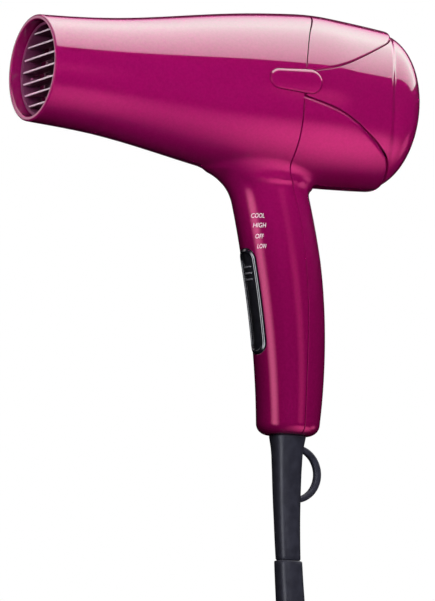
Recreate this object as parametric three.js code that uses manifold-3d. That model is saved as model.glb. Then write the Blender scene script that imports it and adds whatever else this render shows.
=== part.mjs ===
// Handheld hair dryer with its cord, as separate pieces. Millimetres, +Z up.
// The nozzle blows towards -X, the air intake is at +X, and Y = 0 is the mid-plane.
// The origin is the middle of the hand grip.
import * as THREE from 'three';
import { mergeVertices } from 'three/addons/utils/BufferGeometryUtils.js';
import Module from 'manifold-3d';

const wasm = await Module();
wasm.setup();

// ---------------------------------------------------------------- driving dimensions
const AXIS_Z = 108; // height of the barrel's axis above the grip centre
const MOUTH_X = -140; // front plane of the nozzle
const SHELL_END_X = 49; // rear end of the housing
const MOUTH_R = 25.2; // outside radius at the nozzle
const GROWTH = 17.4; // how much the radius grows from nozzle to shoulder
const SHOULDER = 142; // distance from the nozzle to the widest ring
const WALL = 2.4;
const GAP = 0.3; // clearance between neighbouring pieces
const ROUND = 32; // segments around the barrel

const HANDLE_BOTTOM = -53.5;
const HANDLE_TOP = 76; // the handle's form ends inside the barrel
const HANDLE_CORNER = 5; // rounding of the handle's lower end

const CAP_BASE_X = 33.5; // step where the cap's side wings turn into its dome
const CAP_BASE_R = 39.3;
const CAP_DEPTH = 23.5;
const WING_FLOOR_R = 37.8; // bottom of the recess that the wings lie in
const WING_INNER_R = 38.1;
const LEDGE_R = 36;

const SWITCH_CENTRE = new THREE.Vector3(-20.7, 0, 9);
const SWITCH_TILT = THREE.MathUtils.degToRad(10.7);
const SWITCH_BEND = 12.4; // radius of the handle's front, seen from above
const BEZEL_LENGTH = 50.5;
const BEZEL_WIDTH = 16;
const WINDOW_LENGTH = 46;
const WINDOW_WIDTH = 11;
const STRIP_LENGTH = 57; // the sliding strip, longer than its window so it never shows an end
const STRIP_WIDTH = 12.6;
const TRACK_LENGTH = 69; // space cut in the handle for the strip and its travel
const TRACK_WIDTH = 13.4;
const SWITCH_RIBS = [10.5, 13.5, 16.5]; // finger ribs, measured along the switch from its centre

const RELIEF_TOP_X = 2.3;
const RELIEF_TOP = -53.9;
const RELIEF_END = -113;
const SLEEVE_END = -155;
const LEAN = 0.0007; // the relief and the cord in it lean back by this much per mm squared

const CLAMP_Z = -42.8; // bar that holds the cord inside the handle
const CLAMP_SIDES = [7, -7];

const CORD_R = 4.25;
const COIL_X = 10.4;
const COIL_Y = 17.5;
const COIL_Z = -230.7;
const COIL_R = 45.25; // to the middle of the turns
const COIL_HALF_DEPTH = 8.5;
const COIL_HALF_WIDTH = 13.1;

const PLUG_X = -39.1;
const PLUG_Y = 0;
const PLUG_TOP = -284;
const PLUG_HEIGHT = 58;
const PLUG_WIDTH = 37;
const PLUG_FRONT_Y = -13.75;
const PLUG_SPLIT_Y = 6.75;
const PLUG_BACK_Y = 14.75;

// ---------------------------------------------------------------- materials
const standard = (color, roughness, metalness = 0) =>
  () => new THREE.MeshStandardMaterial({ color, roughness, metalness });
const magenta = standard(0xa01462, 0.3, 0.35);
const black = standard(0x1c1a24, 0.45);
const darkGrey = standard(0x2b2e3c, 0.55);
const heatGrey = standard(0x4a3a48, 0.5);
const mica = standard(0xb9a98a, 0.7);
const steel = standard(0x9da0a6, 0.35, 1);
const heatWire = standard(0x8a8078, 0.45, 1);
const brass = standard(0xc9a24b, 0.3, 1);
const white = standard(0xd8d6d0, 0.6);
const red = standard(0xa3161c, 0.5);
const green = standard(0x1f5a35, 0.6);

// ---------------------------------------------------------------- solids
function signedVolume(geometry) {
  const position = geometry.attributes.position;
  const index = geometry.index;
  const [a, b, c] = [new THREE.Vector3(), new THREE.Vector3(), new THREE.Vector3()];
  let volume = 0;
  for (let i = 0; i < index.count; i += 3) {
    a.fromBufferAttribute(position, index.getX(i));
    b.fromBufferAttribute(position, index.getX(i + 1));
    c.fromBufferAttribute(position, index.getX(i + 2));
    volume += a.dot(b.cross(c)) / 6;
  }
  return volume;
}

// A closed geometry as a solid whose faces point out.
function solid(geometry) {
  const bare = geometry.clone();
  bare.deleteAttribute('normal');
  bare.deleteAttribute('uv');
  const merged = mergeVertices(bare, 1e-4);
  const triangles = new Uint32Array(merged.index.array);
  if (signedVolume(merged) < 0) triangles.reverse();
  return new wasm.Manifold(
    new wasm.Mesh({
      numProp: 3,
      vertProperties: new Float32Array(merged.attributes.position.array),
      triVerts: triangles,
    }),
  );
}

function toGeometry(body) {
  const mesh = body.getMesh();
  const geometry = new THREE.BufferGeometry();
  geometry.setAttribute('position', new THREE.BufferAttribute(mesh.vertProperties, 3));
  geometry.setIndex(new THREE.BufferAttribute(mesh.triVerts, 1));
  geometry.computeVertexNormals();
  return geometry;
}

const join = (first, ...others) => others.reduce((sum, next) => sum.add(next), first);

const cut = (first, ...others) => others.reduce((rest, next) => rest.subtract(next), first);

function box(x0, x1, y0, y1, z0, z1) {
  const geometry = new THREE.BoxGeometry(x1 - x0, y1 - y0, z1 - z0);
  geometry.translate((x0 + x1) / 2, (y0 + y1) / 2, (z0 + z1) / 2);
  return solid(geometry);
}

// A round bar from x0 to x1, along X.
function barX(x0, x1, y, z, radius, segments = 16) {
  const geometry = new THREE.CylinderGeometry(radius, radius, x1 - x0, segments);
  geometry.rotateZ(-Math.PI / 2);
  geometry.translate((x0 + x1) / 2, y, z);
  return solid(geometry);
}

// profile: [distance along the axis, radius] pairs; the axis becomes the barrel's own.
function revolve(profile, segments = ROUND) {
  const points = profile.map(([along, radius]) => new THREE.Vector2(radius, along));
  const geometry = new THREE.LatheGeometry(points, segments);
  geometry.rotateZ(-Math.PI / 2);
  geometry.translate(0, 0, AXIS_Z);
  return solid(geometry);
}

// A hollow sleeve on the barrel's axis.
function tube(x0, x1, inner, outer, segments = ROUND) {
  return revolve([[x0, inner], [x1, inner], [x1, outer], [x0, outer], [x0, inner]], segments);
}

// An outline in the XZ plane, as a prism from y0 to y1.
function prism(shape, y0, y1, curveSegments = 12) {
  const geometry = new THREE.ExtrudeGeometry(shape, { depth: y1 - y0, bevelEnabled: false, curveSegments });
  geometry.rotateX(Math.PI / 2);
  geometry.translate(0, y1, 0);
  return solid(geometry);
}

// A section swept along a smooth curve through points.
function sweep(points, radius, steps, sides = 8) {
  const path = new THREE.CatmullRomCurve3(points.map((p) => new THREE.Vector3(...p)));
  const section = new THREE.Shape();
  for (let i = 0; i < sides; i += 1) {
    const angle = (i / sides) * 2 * Math.PI;
    const [x, y] = [radius * Math.cos(angle), radius * Math.sin(angle)];
    if (i === 0) section.moveTo(x, y);
    else section.lineTo(x, y);
  }
  section.closePath();
  return solid(new THREE.ExtrudeGeometry(section, { extrudePath: path, steps, bevelEnabled: false }));
}

// ---------------------------------------------------------------- the pieces and their tree
const dryer = new THREE.Group();

function place(name, body, material, parent = dryer) {
  const mesh = new THREE.Mesh(toGeometry(body), material());
  mesh.name = name;
  parent.add(mesh);
}

// ---------------------------------------------------------------- form of barrel and handle
function softMin(a, b, width) {
  const blend = Math.max(width - Math.abs(a - b), 0) / width;
  return Math.min(a, b) - (blend * blend * width) / 4;
}

// Outside radius of the barrel: a swelling nozzle that meets a gently closing rear body.
function barrelRadius(x) {
  const along = x - MOUTH_X;
  const t = along / SHOULDER;
  const wave = 0.065 * Math.sin(2 * Math.PI * t) + 0.045 * Math.sin(Math.PI * t);
  const front = MOUTH_R + GROWTH * (t - wave);
  const past = along - SHOULDER;
  const rear = MOUTH_R + GROWTH - 0.045 * past - 0.0006 * Math.abs(past) * past;
  return softMin(front, rear, 1.2);
}

const BARREL_STATIONS = [1.2, 34, 62, 88, 112, 132, 142, 154, 173];

function barrelSolid(inset, startX, endX) {
  const walls = BARREL_STATIONS.map((along) => MOUTH_X + along).filter((x) => x > startX && x < endX);
  const radius = (x) => barrelRadius(x) - inset;
  return revolve([
    [startX, 0],
    [startX, radius(startX) - (inset ? 0 : 0.8)],
    ...walls.map((x) => [x, radius(x)]),
    [endX, radius(endX)],
    [endX, 0],
  ]);
}

const handleCentre = (z) => 2.5 - 13.4 * ((z + 40) / 97) ** 2;

// The handle's section at a height: half depth to the front and rear, and half width.
function handleSection(z, inset) {
  const down = Math.max(32 - z, 0) / 80;
  const flare = (start, radius, most) => {
    const rise = Math.min(Math.max(z - start, 0), radius);
    return Math.min(radius - Math.sqrt(radius * radius - rise * rise), most);
  };
  const bottomZ = HANDLE_BOTTOM + inset;
  const rounding = Math.min(Math.max(bottomZ + HANDLE_CORNER - z, 0), HANDLE_CORNER);
  const tuck = HANDLE_CORNER - Math.sqrt(HANDLE_CORNER ** 2 - rounding ** 2);
  const insideBarrel = Math.max(z - 69.5, 0);
  const shrink = inset + tuck + insideBarrel;
  return {
    front: 20.4 - 4.9 * down ** 1.4 + flare(50, 22, 10) - shrink,
    rear: 20.4 - 4.9 * down ** 1.4 + flare(61, 5, 4) - shrink,
    side: 15.6 - 1.4 * down + flare(61, 8, 3) - shrink,
  };
}

function handleSolid(inset) {
  const bottom = HANDLE_BOTTOM + inset;
  const heights = [0, 1.5, 5, 24, 44, 64, 84, 104, 113, 119, 122.5, 129.5];
  const rows = heights.length - 1;
  const geometry = new THREE.CylinderGeometry(1, 1, 1, 24, rows);
  geometry.rotateX(Math.PI / 2);
  const position = geometry.attributes.position;
  for (let i = 0; i < position.count; i += 1) {
    const row = Math.round((position.getZ(i) + 0.5) * rows);
    const z = Math.min(bottom + heights[row], HANDLE_TOP);
    const section = handleSection(z, inset);
    const [along, across] = [position.getX(i), position.getY(i)];
    const reach = along < 0 ? section.front : section.rear;
    position.setXYZ(i, handleCentre(z) + along * reach, across * section.side, z);
  }
  return solid(geometry);
}

// ---------------------------------------------------------------- outlines in side view
// The line where the front and rear housings meet, from the top of the barrel to the handle's end.
const SEAM = [
  [4, 156], [1, 149.5], [-9.4, 136], [-15, 121], [-16.8, 105], [-14.9, 88], [-12, 73],
  [-6.5, 62], [-2.6, 50], [0.4, 35], [2.6, 18], [3.8, 0], [4, -25], [3.9, -60],
];

function frontRegion(shift) {
  const shape = new THREE.Shape();
  shape.moveTo(MOUTH_X - 20, -60);
  shape.lineTo(MOUTH_X - 20, 156);
  shape.lineTo(SEAM[0][0] + shift, SEAM[0][1]);
  shape.splineThru(SEAM.slice(1).map(([x, z]) => new THREE.Vector2(x + shift, z)));
  shape.closePath();
  return prism(shape, -60, 60, 1);
}

// The part of the rear body that the intake cap fills: its side wings and its dome.
function capRegion(spread) {
  const upper = [
    [-11, 116.3], [-1.1, 118.6], [7.6, 122], [17.4, 127], [28.3, 132.9], [36.1, 137.5],
    [42.5, 143.5], [48, 153],
  ];
  const lower = [
    [48.8, 63], [47.5, 68.5], [42, 74.2], [36.8, 80.2], [29.2, 85.5], [20.6, 90.4], [13.5, 94.3],
    [2, 99], [-13, 102.8],
  ];
  const shape = new THREE.Shape();
  shape.moveTo(-13 - spread, 116 + spread);
  shape.lineTo(upper[0][0] - spread, upper[0][1] + spread);
  shape.splineThru(upper.slice(1).map(([x, z]) => new THREE.Vector2(x - spread, z + spread)));
  shape.lineTo(80, 153 + spread);
  shape.lineTo(80, 63 - spread);
  shape.lineTo(lower[0][0] - spread, lower[0][1] - spread);
  shape.splineThru(lower.slice(1).map(([x, z]) => new THREE.Vector2(x - spread, z - spread)));
  shape.closePath();
  return prism(shape, -60, 60, 1);
}

// The egg-shaped badge on each side, over the seam.
const BADGE = { smallX: -29.9, smallR: 4.8, largeX: -14, largeR: 5.9, z: 110.4 };

function badgeRegion(spread, y0, y1) {
  const { smallX, smallR, largeX, largeR, z } = BADGE;
  const tangent = Math.acos((smallR - largeR) / (largeX - smallX));
  const shape = new THREE.Shape();
  shape.absarc(largeX, z, largeR + spread, -tangent, tangent, false);
  shape.absarc(smallX, z, smallR + spread, tangent, 2 * Math.PI - tangent, false);
  shape.closePath();
  return prism(shape, y0, y1, 5);
}

// ---------------------------------------------------------------- switch, in its own tilted frame
const switchFrame = new THREE.Group();
switchFrame.position.copy(SWITCH_CENTRE);
switchFrame.rotation.y = -SWITCH_TILT;
switchFrame.updateMatrix();
dryer.add(switchFrame);

// A block with the handle's bend on its front: between two radii about a line inside the handle.
function bentBlock(innerR, outerR, width, length, endRadius) {
  const ring = new THREE.LatheGeometry(
    [
      new THREE.Vector2(innerR, -length / 2),
      new THREE.Vector2(outerR, -length / 2),
      new THREE.Vector2(outerR, length / 2),
      new THREE.Vector2(innerR, length / 2),
      new THREE.Vector2(innerR, -length / 2),
    ],
    28,
  );
  ring.rotateX(Math.PI / 2);
  ring.translate(SWITCH_BEND, 0, 0);
  const shape = new THREE.Shape();
  const [w, h, r] = [width / 2, length / 2, endRadius];
  shape.absarc(w - r, h - r, r, 0, Math.PI / 2, false);
  shape.absarc(-w + r, h - r, r, Math.PI / 2, Math.PI, false);
  shape.absarc(-w + r, -h + r, r, Math.PI, 1.5 * Math.PI, false);
  shape.absarc(w - r, -h + r, r, 1.5 * Math.PI, 2 * Math.PI, false);
  shape.closePath();
  const window = new THREE.ExtrudeGeometry(shape, { depth: 14, bevelEnabled: false, curveSegments: 3 });
  window.rotateX(Math.PI / 2);
  window.rotateZ(Math.PI / 2);
  window.translate(-4, 0, 0);
  return solid(ring).intersect(solid(window));
}

const inDryer = (body) => body.transform(Array.from(switchFrame.matrix.elements));

const bezelBlock = (spread) =>
  bentBlock(1, SWITCH_BEND + 6, BEZEL_WIDTH + 2 * spread, BEZEL_LENGTH + 2 * spread, 5 + spread);
const sliderTrack = bentBlock(1, SWITCH_BEND - 0.6, TRACK_WIDTH, TRACK_LENGTH, 1);

const bezel = cut(
  bentBlock(SWITCH_BEND - 0.5, SWITCH_BEND + 0.5, BEZEL_WIDTH, BEZEL_LENGTH, 5),
  bentBlock(1, SWITCH_BEND + 6, WINDOW_WIDTH, WINDOW_LENGTH, 4.5),
);
place('switch_bezel', bezel, black, switchFrame);

function switchSlider() {
  const strip = bentBlock(SWITCH_BEND - 2.2, SWITCH_BEND - 0.9, STRIP_WIDTH, STRIP_LENGTH, 2);
  const ribs = SWITCH_RIBS.map((z) =>
    bentBlock(SWITCH_BEND - 1.5, SWITCH_BEND + 0.2, 8, 0.9, 0.3).translate([0, 0, z]),
  );
  const lug = box(2, 4.2, -1.5, 1.5, 9, 15);
  return join(strip, ...ribs, lug);
}
place('switch_slider', switchSlider(), black, switchFrame);
place('switch_stem', box(4.6, 7.4, -2.4, 2.4, 8.5, 16), white, switchFrame);

function switchBody() {
  const terminals = [-8, 0, 8].map((z) => box(17, 22, -0.4 + 3.5, 0.4 + 3.5, z - 2, z + 2));
  const slot = box(4, 8, -3, 3, 5.3, 21.8);
  return join(cut(box(4.5, 18, -6.2, 6.2, -16, 24), slot), ...terminals);
}
place('switch_body', switchBody(), darkGrey, switchFrame);

// ---------------------------------------------------------------- housing
// Two screws pull the rear housing onto posts in the front one, from behind the handle.
const HOUSING_SCREWS = [
  { name: 'housing_screw_upper', z: 49, seamX: -2.4, seatX: 3 },
  { name: 'housing_screw_lower', z: -26, seamX: 4, seatX: 13 },
];

const outerForm = join(barrelSolid(0, MOUTH_X, SHELL_END_X), handleSolid(0));
const innerForm = join(barrelSolid(WALL, MOUTH_X - 1, SHELL_END_X + 1), handleSolid(WALL));
const shell = cut(outerForm, innerForm);
const badgeHoles = join(badgeRegion(GAP, -60, -20), badgeRegion(GAP, 20, 60));

const reliefHole = (() => {
  const hole = new THREE.CylinderGeometry(8, 8, 20, 24);
  hole.rotateX(Math.PI / 2);
  hole.translate(RELIEF_TOP_X, 0, HANDLE_BOTTOM);
  return solid(hole);
})();

function frontHousing() {
  const posts = HOUSING_SCREWS.map(({ z, seamX }) => {
    const post = barX(handleCentre(z) - 19, seamX - 0.4, 0, z, 3.3);
    return post.intersect(handleSolid(WALL / 2));
  });
  const saddles = CLAMP_SIDES.map((y) =>
    barX(-16, 1.5, y, CLAMP_Z, 2.1, 12).intersect(handleSolid(WALL / 2)),
  );
  const pilots = [
    ...HOUSING_SCREWS.map(({ z, seamX }) => barX(seamX - 12, seamX + 2, 0, z, 1.6, 12)),
    ...CLAMP_SIDES.map((y) => barX(-6, 3, y, CLAMP_Z, 1.5, 8)),
  ];
  const whole = join(shell.intersect(frontRegion(-GAP / 2)), ...posts, ...saddles);
  return cut(whole, ...pilots, badgeHoles, reliefHole, inDryer(bezelBlock(GAP)), inDryer(sliderTrack));
}
place('front_housing', frontHousing(), magenta);

function rearHousing() {
  const rearPart = cut(shell, frontRegion(GAP / 2));
  const within = (radius) => revolve([[-60, 0], [-60, radius], [90, radius], [90, 0]]);
  const outsideFloor = cut(barrelSolid(-5, -60, 90), within(WING_FLOOR_R));
  const behindLedge = box(CAP_BASE_X - 0.5, 90, -60, 60, 0, 200);
  const recess = capRegion(GAP / 2).intersect(join(outsideFloor, behindLedge));
  const ledgeRegion = cut(capRegion(2), box(-200, -14.5, -60, 60, 0, 200), box(33, 90, -60, 60, 0, 200));
  const ledge = ledgeRegion.intersect(tube(-30, 40, LEDGE_R, WING_FLOOR_R));
  const rim = cut(ledgeRegion, capRegion(GAP / 2))
    .intersect(cut(barrelSolid(0.6, -30, 40), within(LEDGE_R)));
  const posts = HOUSING_SCREWS.map(({ z, seamX }) =>
    barX(seamX + 0.4, handleCentre(z) + 19, 0, z, 4.4).intersect(handleSolid(WALL / 2)),
  );
  const bores = HOUSING_SCREWS.map(({ z, seamX, seatX }) =>
    join(barX(seamX - 2, seatX + 1, 0, z, 2, 12), barX(seatX, seatX + 30, 0, z, 3.4)),
  );
  return cut(join(cut(rearPart, recess), ledge, rim, ...posts), ...bores, badgeHoles, reliefHole);
}
place('rear_housing', rearHousing(), magenta);

for (const { name, z, seamX, seatX } of HOUSING_SCREWS) {
  const screw = join(barX(seamX - 10, seatX + 1, 0, z, 1.25, 12), barX(seatX + GAP, seatX + 2.6, 0, z, 3));
  place(name, screw, steel);
}

const BADGE_PROUD = 0.9; // how far the badges stand out of the barrel
const BADGE_DEPTH = 1.6; // how far they go into it
const badgeLayer = cut(barrelSolid(-BADGE_PROUD, -60, 20), barrelSolid(BADGE_DEPTH, -61, 21));
place('side_badge_left', badgeLayer.intersect(badgeRegion(0, 20, 60)), magenta);
place('side_badge_right', badgeLayer.intersect(badgeRegion(0, -60, -20)), magenta);

// ---------------------------------------------------------------- intake cap
// Profile of the dome: a rounded-off quarter, thinned by inset.
function domeProfile(inset) {
  const steps = 5;
  const profile = [];
  for (let i = 0; i <= steps; i += 1) {
    const angle = (Math.PI / 2) * (1 - i / steps);
    const along = (CAP_DEPTH - inset) * Math.cos(angle) ** (2 / 3);
    const radius = (CAP_BASE_R - inset) * Math.sin(angle) ** (2 / 3);
    profile.push([CAP_BASE_X + along, i === steps ? 0 : radius]);
  }
  return profile;
}

// Rows of slots, each in two halves, fill a round field on the rear of the dome.
const SLOT_PITCH = 6.4;
const SLOT_HALF = 1.5; // half of a slot's height
const SLOT_BRIDGE = 1.2; // half of the upright bar between the two halves
const SLOT_FIELD_R = 25;

function intakeCap() {
  const dome = cut(
    revolve([[CAP_BASE_X, 0], ...domeProfile(0)]),
    revolve([[CAP_BASE_X - 1, 0], [CAP_BASE_X - 1, CAP_BASE_R - 2], ...domeProfile(2)]),
  );
  const wings = cut(
    barrelSolid(0, -40, CAP_BASE_X + 0.5),
    revolve([
      [-41, 0], [-41, WING_INNER_R], [CAP_BASE_X, WING_INNER_R], [CAP_BASE_X, 37.2], [40, 37.2], [40, 0],
    ]),
  );
  const slots = [];
  for (let row = -3; row <= 3; row += 1) {
    const middle = AXIS_Z + row * SLOT_PITCH;
    const half = Math.sqrt(SLOT_FIELD_R ** 2 - (row * SLOT_PITCH) ** 2);
    slots.push(box(44, 70, -half, -SLOT_BRIDGE, middle - SLOT_HALF, middle + SLOT_HALF));
    slots.push(box(44, 70, SLOT_BRIDGE, half, middle - SLOT_HALF, middle + SLOT_HALF));
  }
  const region = cut(capRegion(-GAP / 2), badgeHoles);
  return cut(join(wings, dome).intersect(region), ...slots);
}
place('intake_cap', intakeCap(), magenta);

// A coarse screen behind the slots catches lint.
const SCREEN_R = 29;
const SCREEN_PITCH = 9.4;
const SCREEN_HOLE = 3.9; // half of a hole's side

function lintScreen() {
  const windows = [];
  for (let row = -2; row <= 2; row += 1) {
    for (let column = -2; column <= 2; column += 1) {
      const [y, z] = [column * SCREEN_PITCH, AXIS_Z + row * SCREEN_PITCH];
      const hole = box(30, 50, y - SCREEN_HOLE, y + SCREEN_HOLE, z - SCREEN_HOLE, z + SCREEN_HOLE);
      if (Math.hypot(row, column) < 2.3) windows.push(hole);
    }
  }
  return cut(revolve([[43, 0], [43, SCREEN_R], [44, SCREEN_R], [44, 0]], 32), ...windows);
}
place('lint_screen', lintScreen(), darkGrey);

// ---------------------------------------------------------------- outlet grille
const GRILLE_FRONT = MOUTH_X + 4.7;
const GRILLE_DEPTH = 9;
const GRILLE_INNER_R = 20.9;
const GRILLE_OUTER_R = 22.4;
const FIN_PITCH = 5.7;
const FIN_LIFT = 1.1; // the middle fin's height above the axis
const FIN_HALF = 0.5; // half of a fin's thickness

function outletGrille() {
  const fins = [];
  for (let row = -3; row <= 3; row += 1) {
    const z = AXIS_Z + FIN_LIFT + row * FIN_PITCH;
    const half = Math.sqrt((GRILLE_INNER_R + 0.7) ** 2 - (z - AXIS_Z) ** 2);
    fins.push(box(GRILLE_FRONT + 0.3, GRILLE_FRONT + 8, -half, half, z - FIN_HALF, z + FIN_HALF));
  }
  return join(tube(GRILLE_FRONT, GRILLE_FRONT + GRILLE_DEPTH, GRILLE_INNER_R, GRILLE_OUTER_R, 40), ...fins);
}
place('outlet_grille', outletGrille(), heatGrey);

// ---------------------------------------------------------------- heater
const HEATER_FRONT = -122;
const HEATER_REAR = -58;

function heaterLiner() {
  const stations = [-123, -94, -66, -37];
  const outer = stations.map((x) => [x, barrelRadius(x) - WALL - 0.8]);
  const inner = stations.map((x) => [x, barrelRadius(x) - WALL - 1.6]).reverse();
  return revolve([...outer, ...inner, outer[0]], 32);
}
place('heater_liner', heaterLiner(), mica);

// The heating wires wind around the crossed boards, wider towards the fan.
function heatCoil(frontR, rearR, turns, wireR) {
  const perTurn = 8;
  const points = [];
  for (let i = 0; i <= turns * perTurn; i += 1) {
    const t = i / (turns * perTurn);
    const angle = (i / perTurn) * 2 * Math.PI + 0.4;
    const radius = frontR + (rearR - frontR) * t;
    const x = HEATER_FRONT + 8 + (HEATER_REAR - HEATER_FRONT - 16) * t;
    points.push([x, radius * Math.cos(angle), AXIS_Z + radius * Math.sin(angle)]);
  }
  return sweep(points, wireR, turns * perTurn, 6);
}

function heaterBoard(slotStart, slotEnd) {
  const shape = new THREE.Shape();
  shape.moveTo(HEATER_FRONT, AXIS_Z - 17.6);
  shape.lineTo(HEATER_REAR, AXIS_Z - 22.6);
  shape.lineTo(HEATER_REAR, AXIS_Z + 22.6);
  shape.lineTo(HEATER_FRONT, AXIS_Z + 17.6);
  shape.closePath();
  return cut(prism(shape, -0.4, 0.4), box(slotStart, slotEnd, -2, 2, AXIS_Z - 0.75, AXIS_Z + 0.75));
}

const heaterMiddle = (HEATER_FRONT + HEATER_REAR) / 2;
const outerCoilSpace = heatCoil(16.6, 21.4, 4, 2);
const innerCoilSpace = heatCoil(8.5, 11, 3, 1.8);
const upright = heaterBoard(HEATER_FRONT - 1, heaterMiddle + 0.3);
const level = heaterBoard(heaterMiddle - 0.3, HEATER_REAR + 1)
  .translate([0, 0, -AXIS_Z])
  .rotate([90, 0, 0])
  .translate([0, 0, AXIS_Z]);
place('heater_board_upright', cut(upright, outerCoilSpace, innerCoilSpace), mica);
place('heater_board_level', cut(level, outerCoilSpace, innerCoilSpace), mica);
place('heating_coil_outer', heatCoil(16.6, 21.4, 4, 1.6), heatWire);
place('heating_coil_inner', heatCoil(8.5, 11, 3, 1.4), heatWire);
place('thermostat', box(-72, -63, 0.8, 4.8, AXIS_Z + 3, AXIS_Z + 7.5), brass);
place('thermal_fuse', barX(-76, -63, 2.8, AXIS_Z - 4, 1.6, 10), white);

// ---------------------------------------------------------------- motor and fan
const DUCT_FRONT = -26;
const DUCT_REAR = 31;
const MOTOR_FRONT = -27;
const MOTOR_REAR = 4;
const DUCT_INNER_R = 34.2;
const DUCT_OUTER_R = 35.4;
const DUCT_VANES = 7;
const FAN_BLADES = 9;
const FAN_TIP_R = 32.6;
const FAN_PITCH = 38; // degrees that each blade is turned from the shaft's direction

function fanDuct() {
  const cup = tube(DUCT_FRONT, -2, 14.6, 15.8, 32);
  const vanes = [];
  for (let i = 0; i < DUCT_VANES; i += 1) {
    const vane = box(DUCT_FRONT + 2, -6, -0.6, 0.6, 15.2, DUCT_INNER_R + 0.4);
    vanes.push(vane.rotate([(360 / DUCT_VANES) * i, 0, 0]).translate([0, 0, AXIS_Z]));
  }
  return join(tube(DUCT_FRONT, DUCT_REAR, DUCT_INNER_R, DUCT_OUTER_R), cup, ...vanes);
}
place('fan_duct', fanDuct(), heatGrey);

const shaftBore = barX(-60, 60, 0, AXIS_Z, 1.5, 12);
const motorCan = join(
  barX(MOTOR_FRONT, MOTOR_REAR, 0, AXIS_Z, 14, 28),
  barX(MOTOR_REAR - 1, MOTOR_REAR + 2, 0, AXIS_Z, 4),
);
place('motor_can', cut(motorCan, shaftBore), steel);

function rectifierBoard() {
  const board = barX(-32, -30.4, 0, AXIS_Z, 12.5, 24);
  const diodes = [[5, 5], [5, -5], [-5, 5], [-5, -5]].map(([y, z]) =>
    box(-37, -31.5, y - 1.4, y + 1.4, AXIS_Z + z - 2.6, AXIS_Z + z + 2.6),
  );
  return cut(join(board, ...diodes), shaftBore);
}
place('rectifier_board', rectifierBoard(), green);
place('motor_shaft', barX(-29.5, 22, 0, AXIS_Z, 1.15, 10), steel);

function fanImpeller() {
  const hub = revolve([[7, 0], [7, 13.2], [19, 13.2], [22.6, 9], [23.6, 0]], 28);
  const blades = [];
  for (let i = 0; i < FAN_BLADES; i += 1) {
    const blade = box(-7, 7, -0.6, 0.6, 12.4, FAN_TIP_R).rotate([0, 0, FAN_PITCH]).translate([14.2, 0, 0]);
    blades.push(blade.rotate([(360 / FAN_BLADES) * i, 0, 0]).translate([0, 0, AXIS_Z]));
  }
  return cut(join(hub, ...blades), barX(0, 22.4, 0, AXIS_Z, 1.45, 12));
}
place('fan_impeller', fanImpeller(), black);

// ---------------------------------------------------------------- wiring inside
const wires = {
  wire_live: [
    [1, 2, -38.5], [0, 5.5, -33], [1, 7.6, -26], [1, 8.4, -12], [-4, 8.6, 15], [-9, 8.6, 35],
    [-19, 8, 52], [-28, 6.5, 66], [-29, 6, 78],
  ],
  wire_neutral: [
    [3.6, -2, -38.5], [5, -5.5, -33], [7, -7.6, -26], [8, -8, -12], [4, -8.6, 15], [-4, -8.6, 35],
    [-17, -8, 52], [-28, -6.5, 66], [-29, -6, 78],
  ],
};
const wireColour = { wire_live: darkGrey, wire_neutral: white };
for (const [name, points] of Object.entries(wires)) {
  place(name, sweep(points, 0.9, 16, 5), wireColour[name]);
}

// ---------------------------------------------------------------- strain relief and the cord in it
// Leans a piece back towards +X with its depth under the handle.
function lean(geometry) {
  const position = geometry.attributes.position;
  for (let i = 0; i < position.count; i += 1) {
    const depth = Math.max(RELIEF_TOP - position.getZ(i), 0);
    position.setX(i, position.getX(i) + RELIEF_TOP_X + LEAN * depth * depth);
  }
  return geometry;
}

// profile: [height, radius] pairs around the leaning cord's line.
function leaningSleeve(profile, segments = 16) {
  const points = profile.map(([height, radius]) => new THREE.Vector2(radius, height));
  const geometry = new THREE.LatheGeometry(points, segments);
  geometry.rotateX(Math.PI / 2);
  return solid(lean(geometry));
}

const RELIEF_BORE = 4.6;
const HANG_RING = { x: 6.7, z: -71.5, radius: 12.5, thickness: 1.65 };

function strainRelief() {
  const sleeve = leaningSleeve([
    [-46, RELIEF_BORE], [-46, 6], [-47.3, 9.3], [-48.8, 9.3], [-48.8, 7.7], [RELIEF_TOP, 7.7],
    [RELIEF_TOP, 8.3], [-56, 8.1], [-63, 7.1], [-71.5, 6.8], [-94, 6.2], [RELIEF_END, 5.8],
    [RELIEF_END, RELIEF_BORE], [-94, RELIEF_BORE], [-71.5, RELIEF_BORE], [-46, RELIEF_BORE],
  ]);
  const arc = [];
  for (let degrees = -84; degrees <= 84; degrees += 14) {
    const angle = THREE.MathUtils.degToRad(degrees);
    const [along, up] = [HANG_RING.radius * Math.cos(angle), HANG_RING.radius * Math.sin(angle)];
    arc.push([HANG_RING.x + along, 0, HANG_RING.z + up]);
  }
  const ring = sweep(arc, HANG_RING.thickness, 16, 8);
  const bore = leaningSleeve([
    [-120, 0], [-120, RELIEF_BORE], [-94, RELIEF_BORE], [-71.5, RELIEF_BORE], [-45, RELIEF_BORE], [-45, 0],
  ]);
  return cut(join(sleeve, ring), bore);
}
place('strain_relief', strainRelief(), darkGrey);

place(
  'cord_sleeve',
  leaningSleeve([
    [RELIEF_END - GAP, RELIEF_BORE], [RELIEF_END - GAP, 6.1], [-141, 6.4], [SLEEVE_END, 5.2],
    [SLEEVE_END, RELIEF_BORE], [-141, RELIEF_BORE], [-127, RELIEF_BORE], [RELIEF_END - GAP, RELIEF_BORE],
  ]),
  darkGrey,
);
place(
  'cord_inside',
  leaningSleeve(
    [
      [SLEEVE_END, 0], [SLEEVE_END, CORD_R], [-134, CORD_R], [-113, CORD_R], [-85, CORD_R], [-39, CORD_R],
      [-39, 0],
    ],
    12,
  ),
  darkGrey,
);

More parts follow.
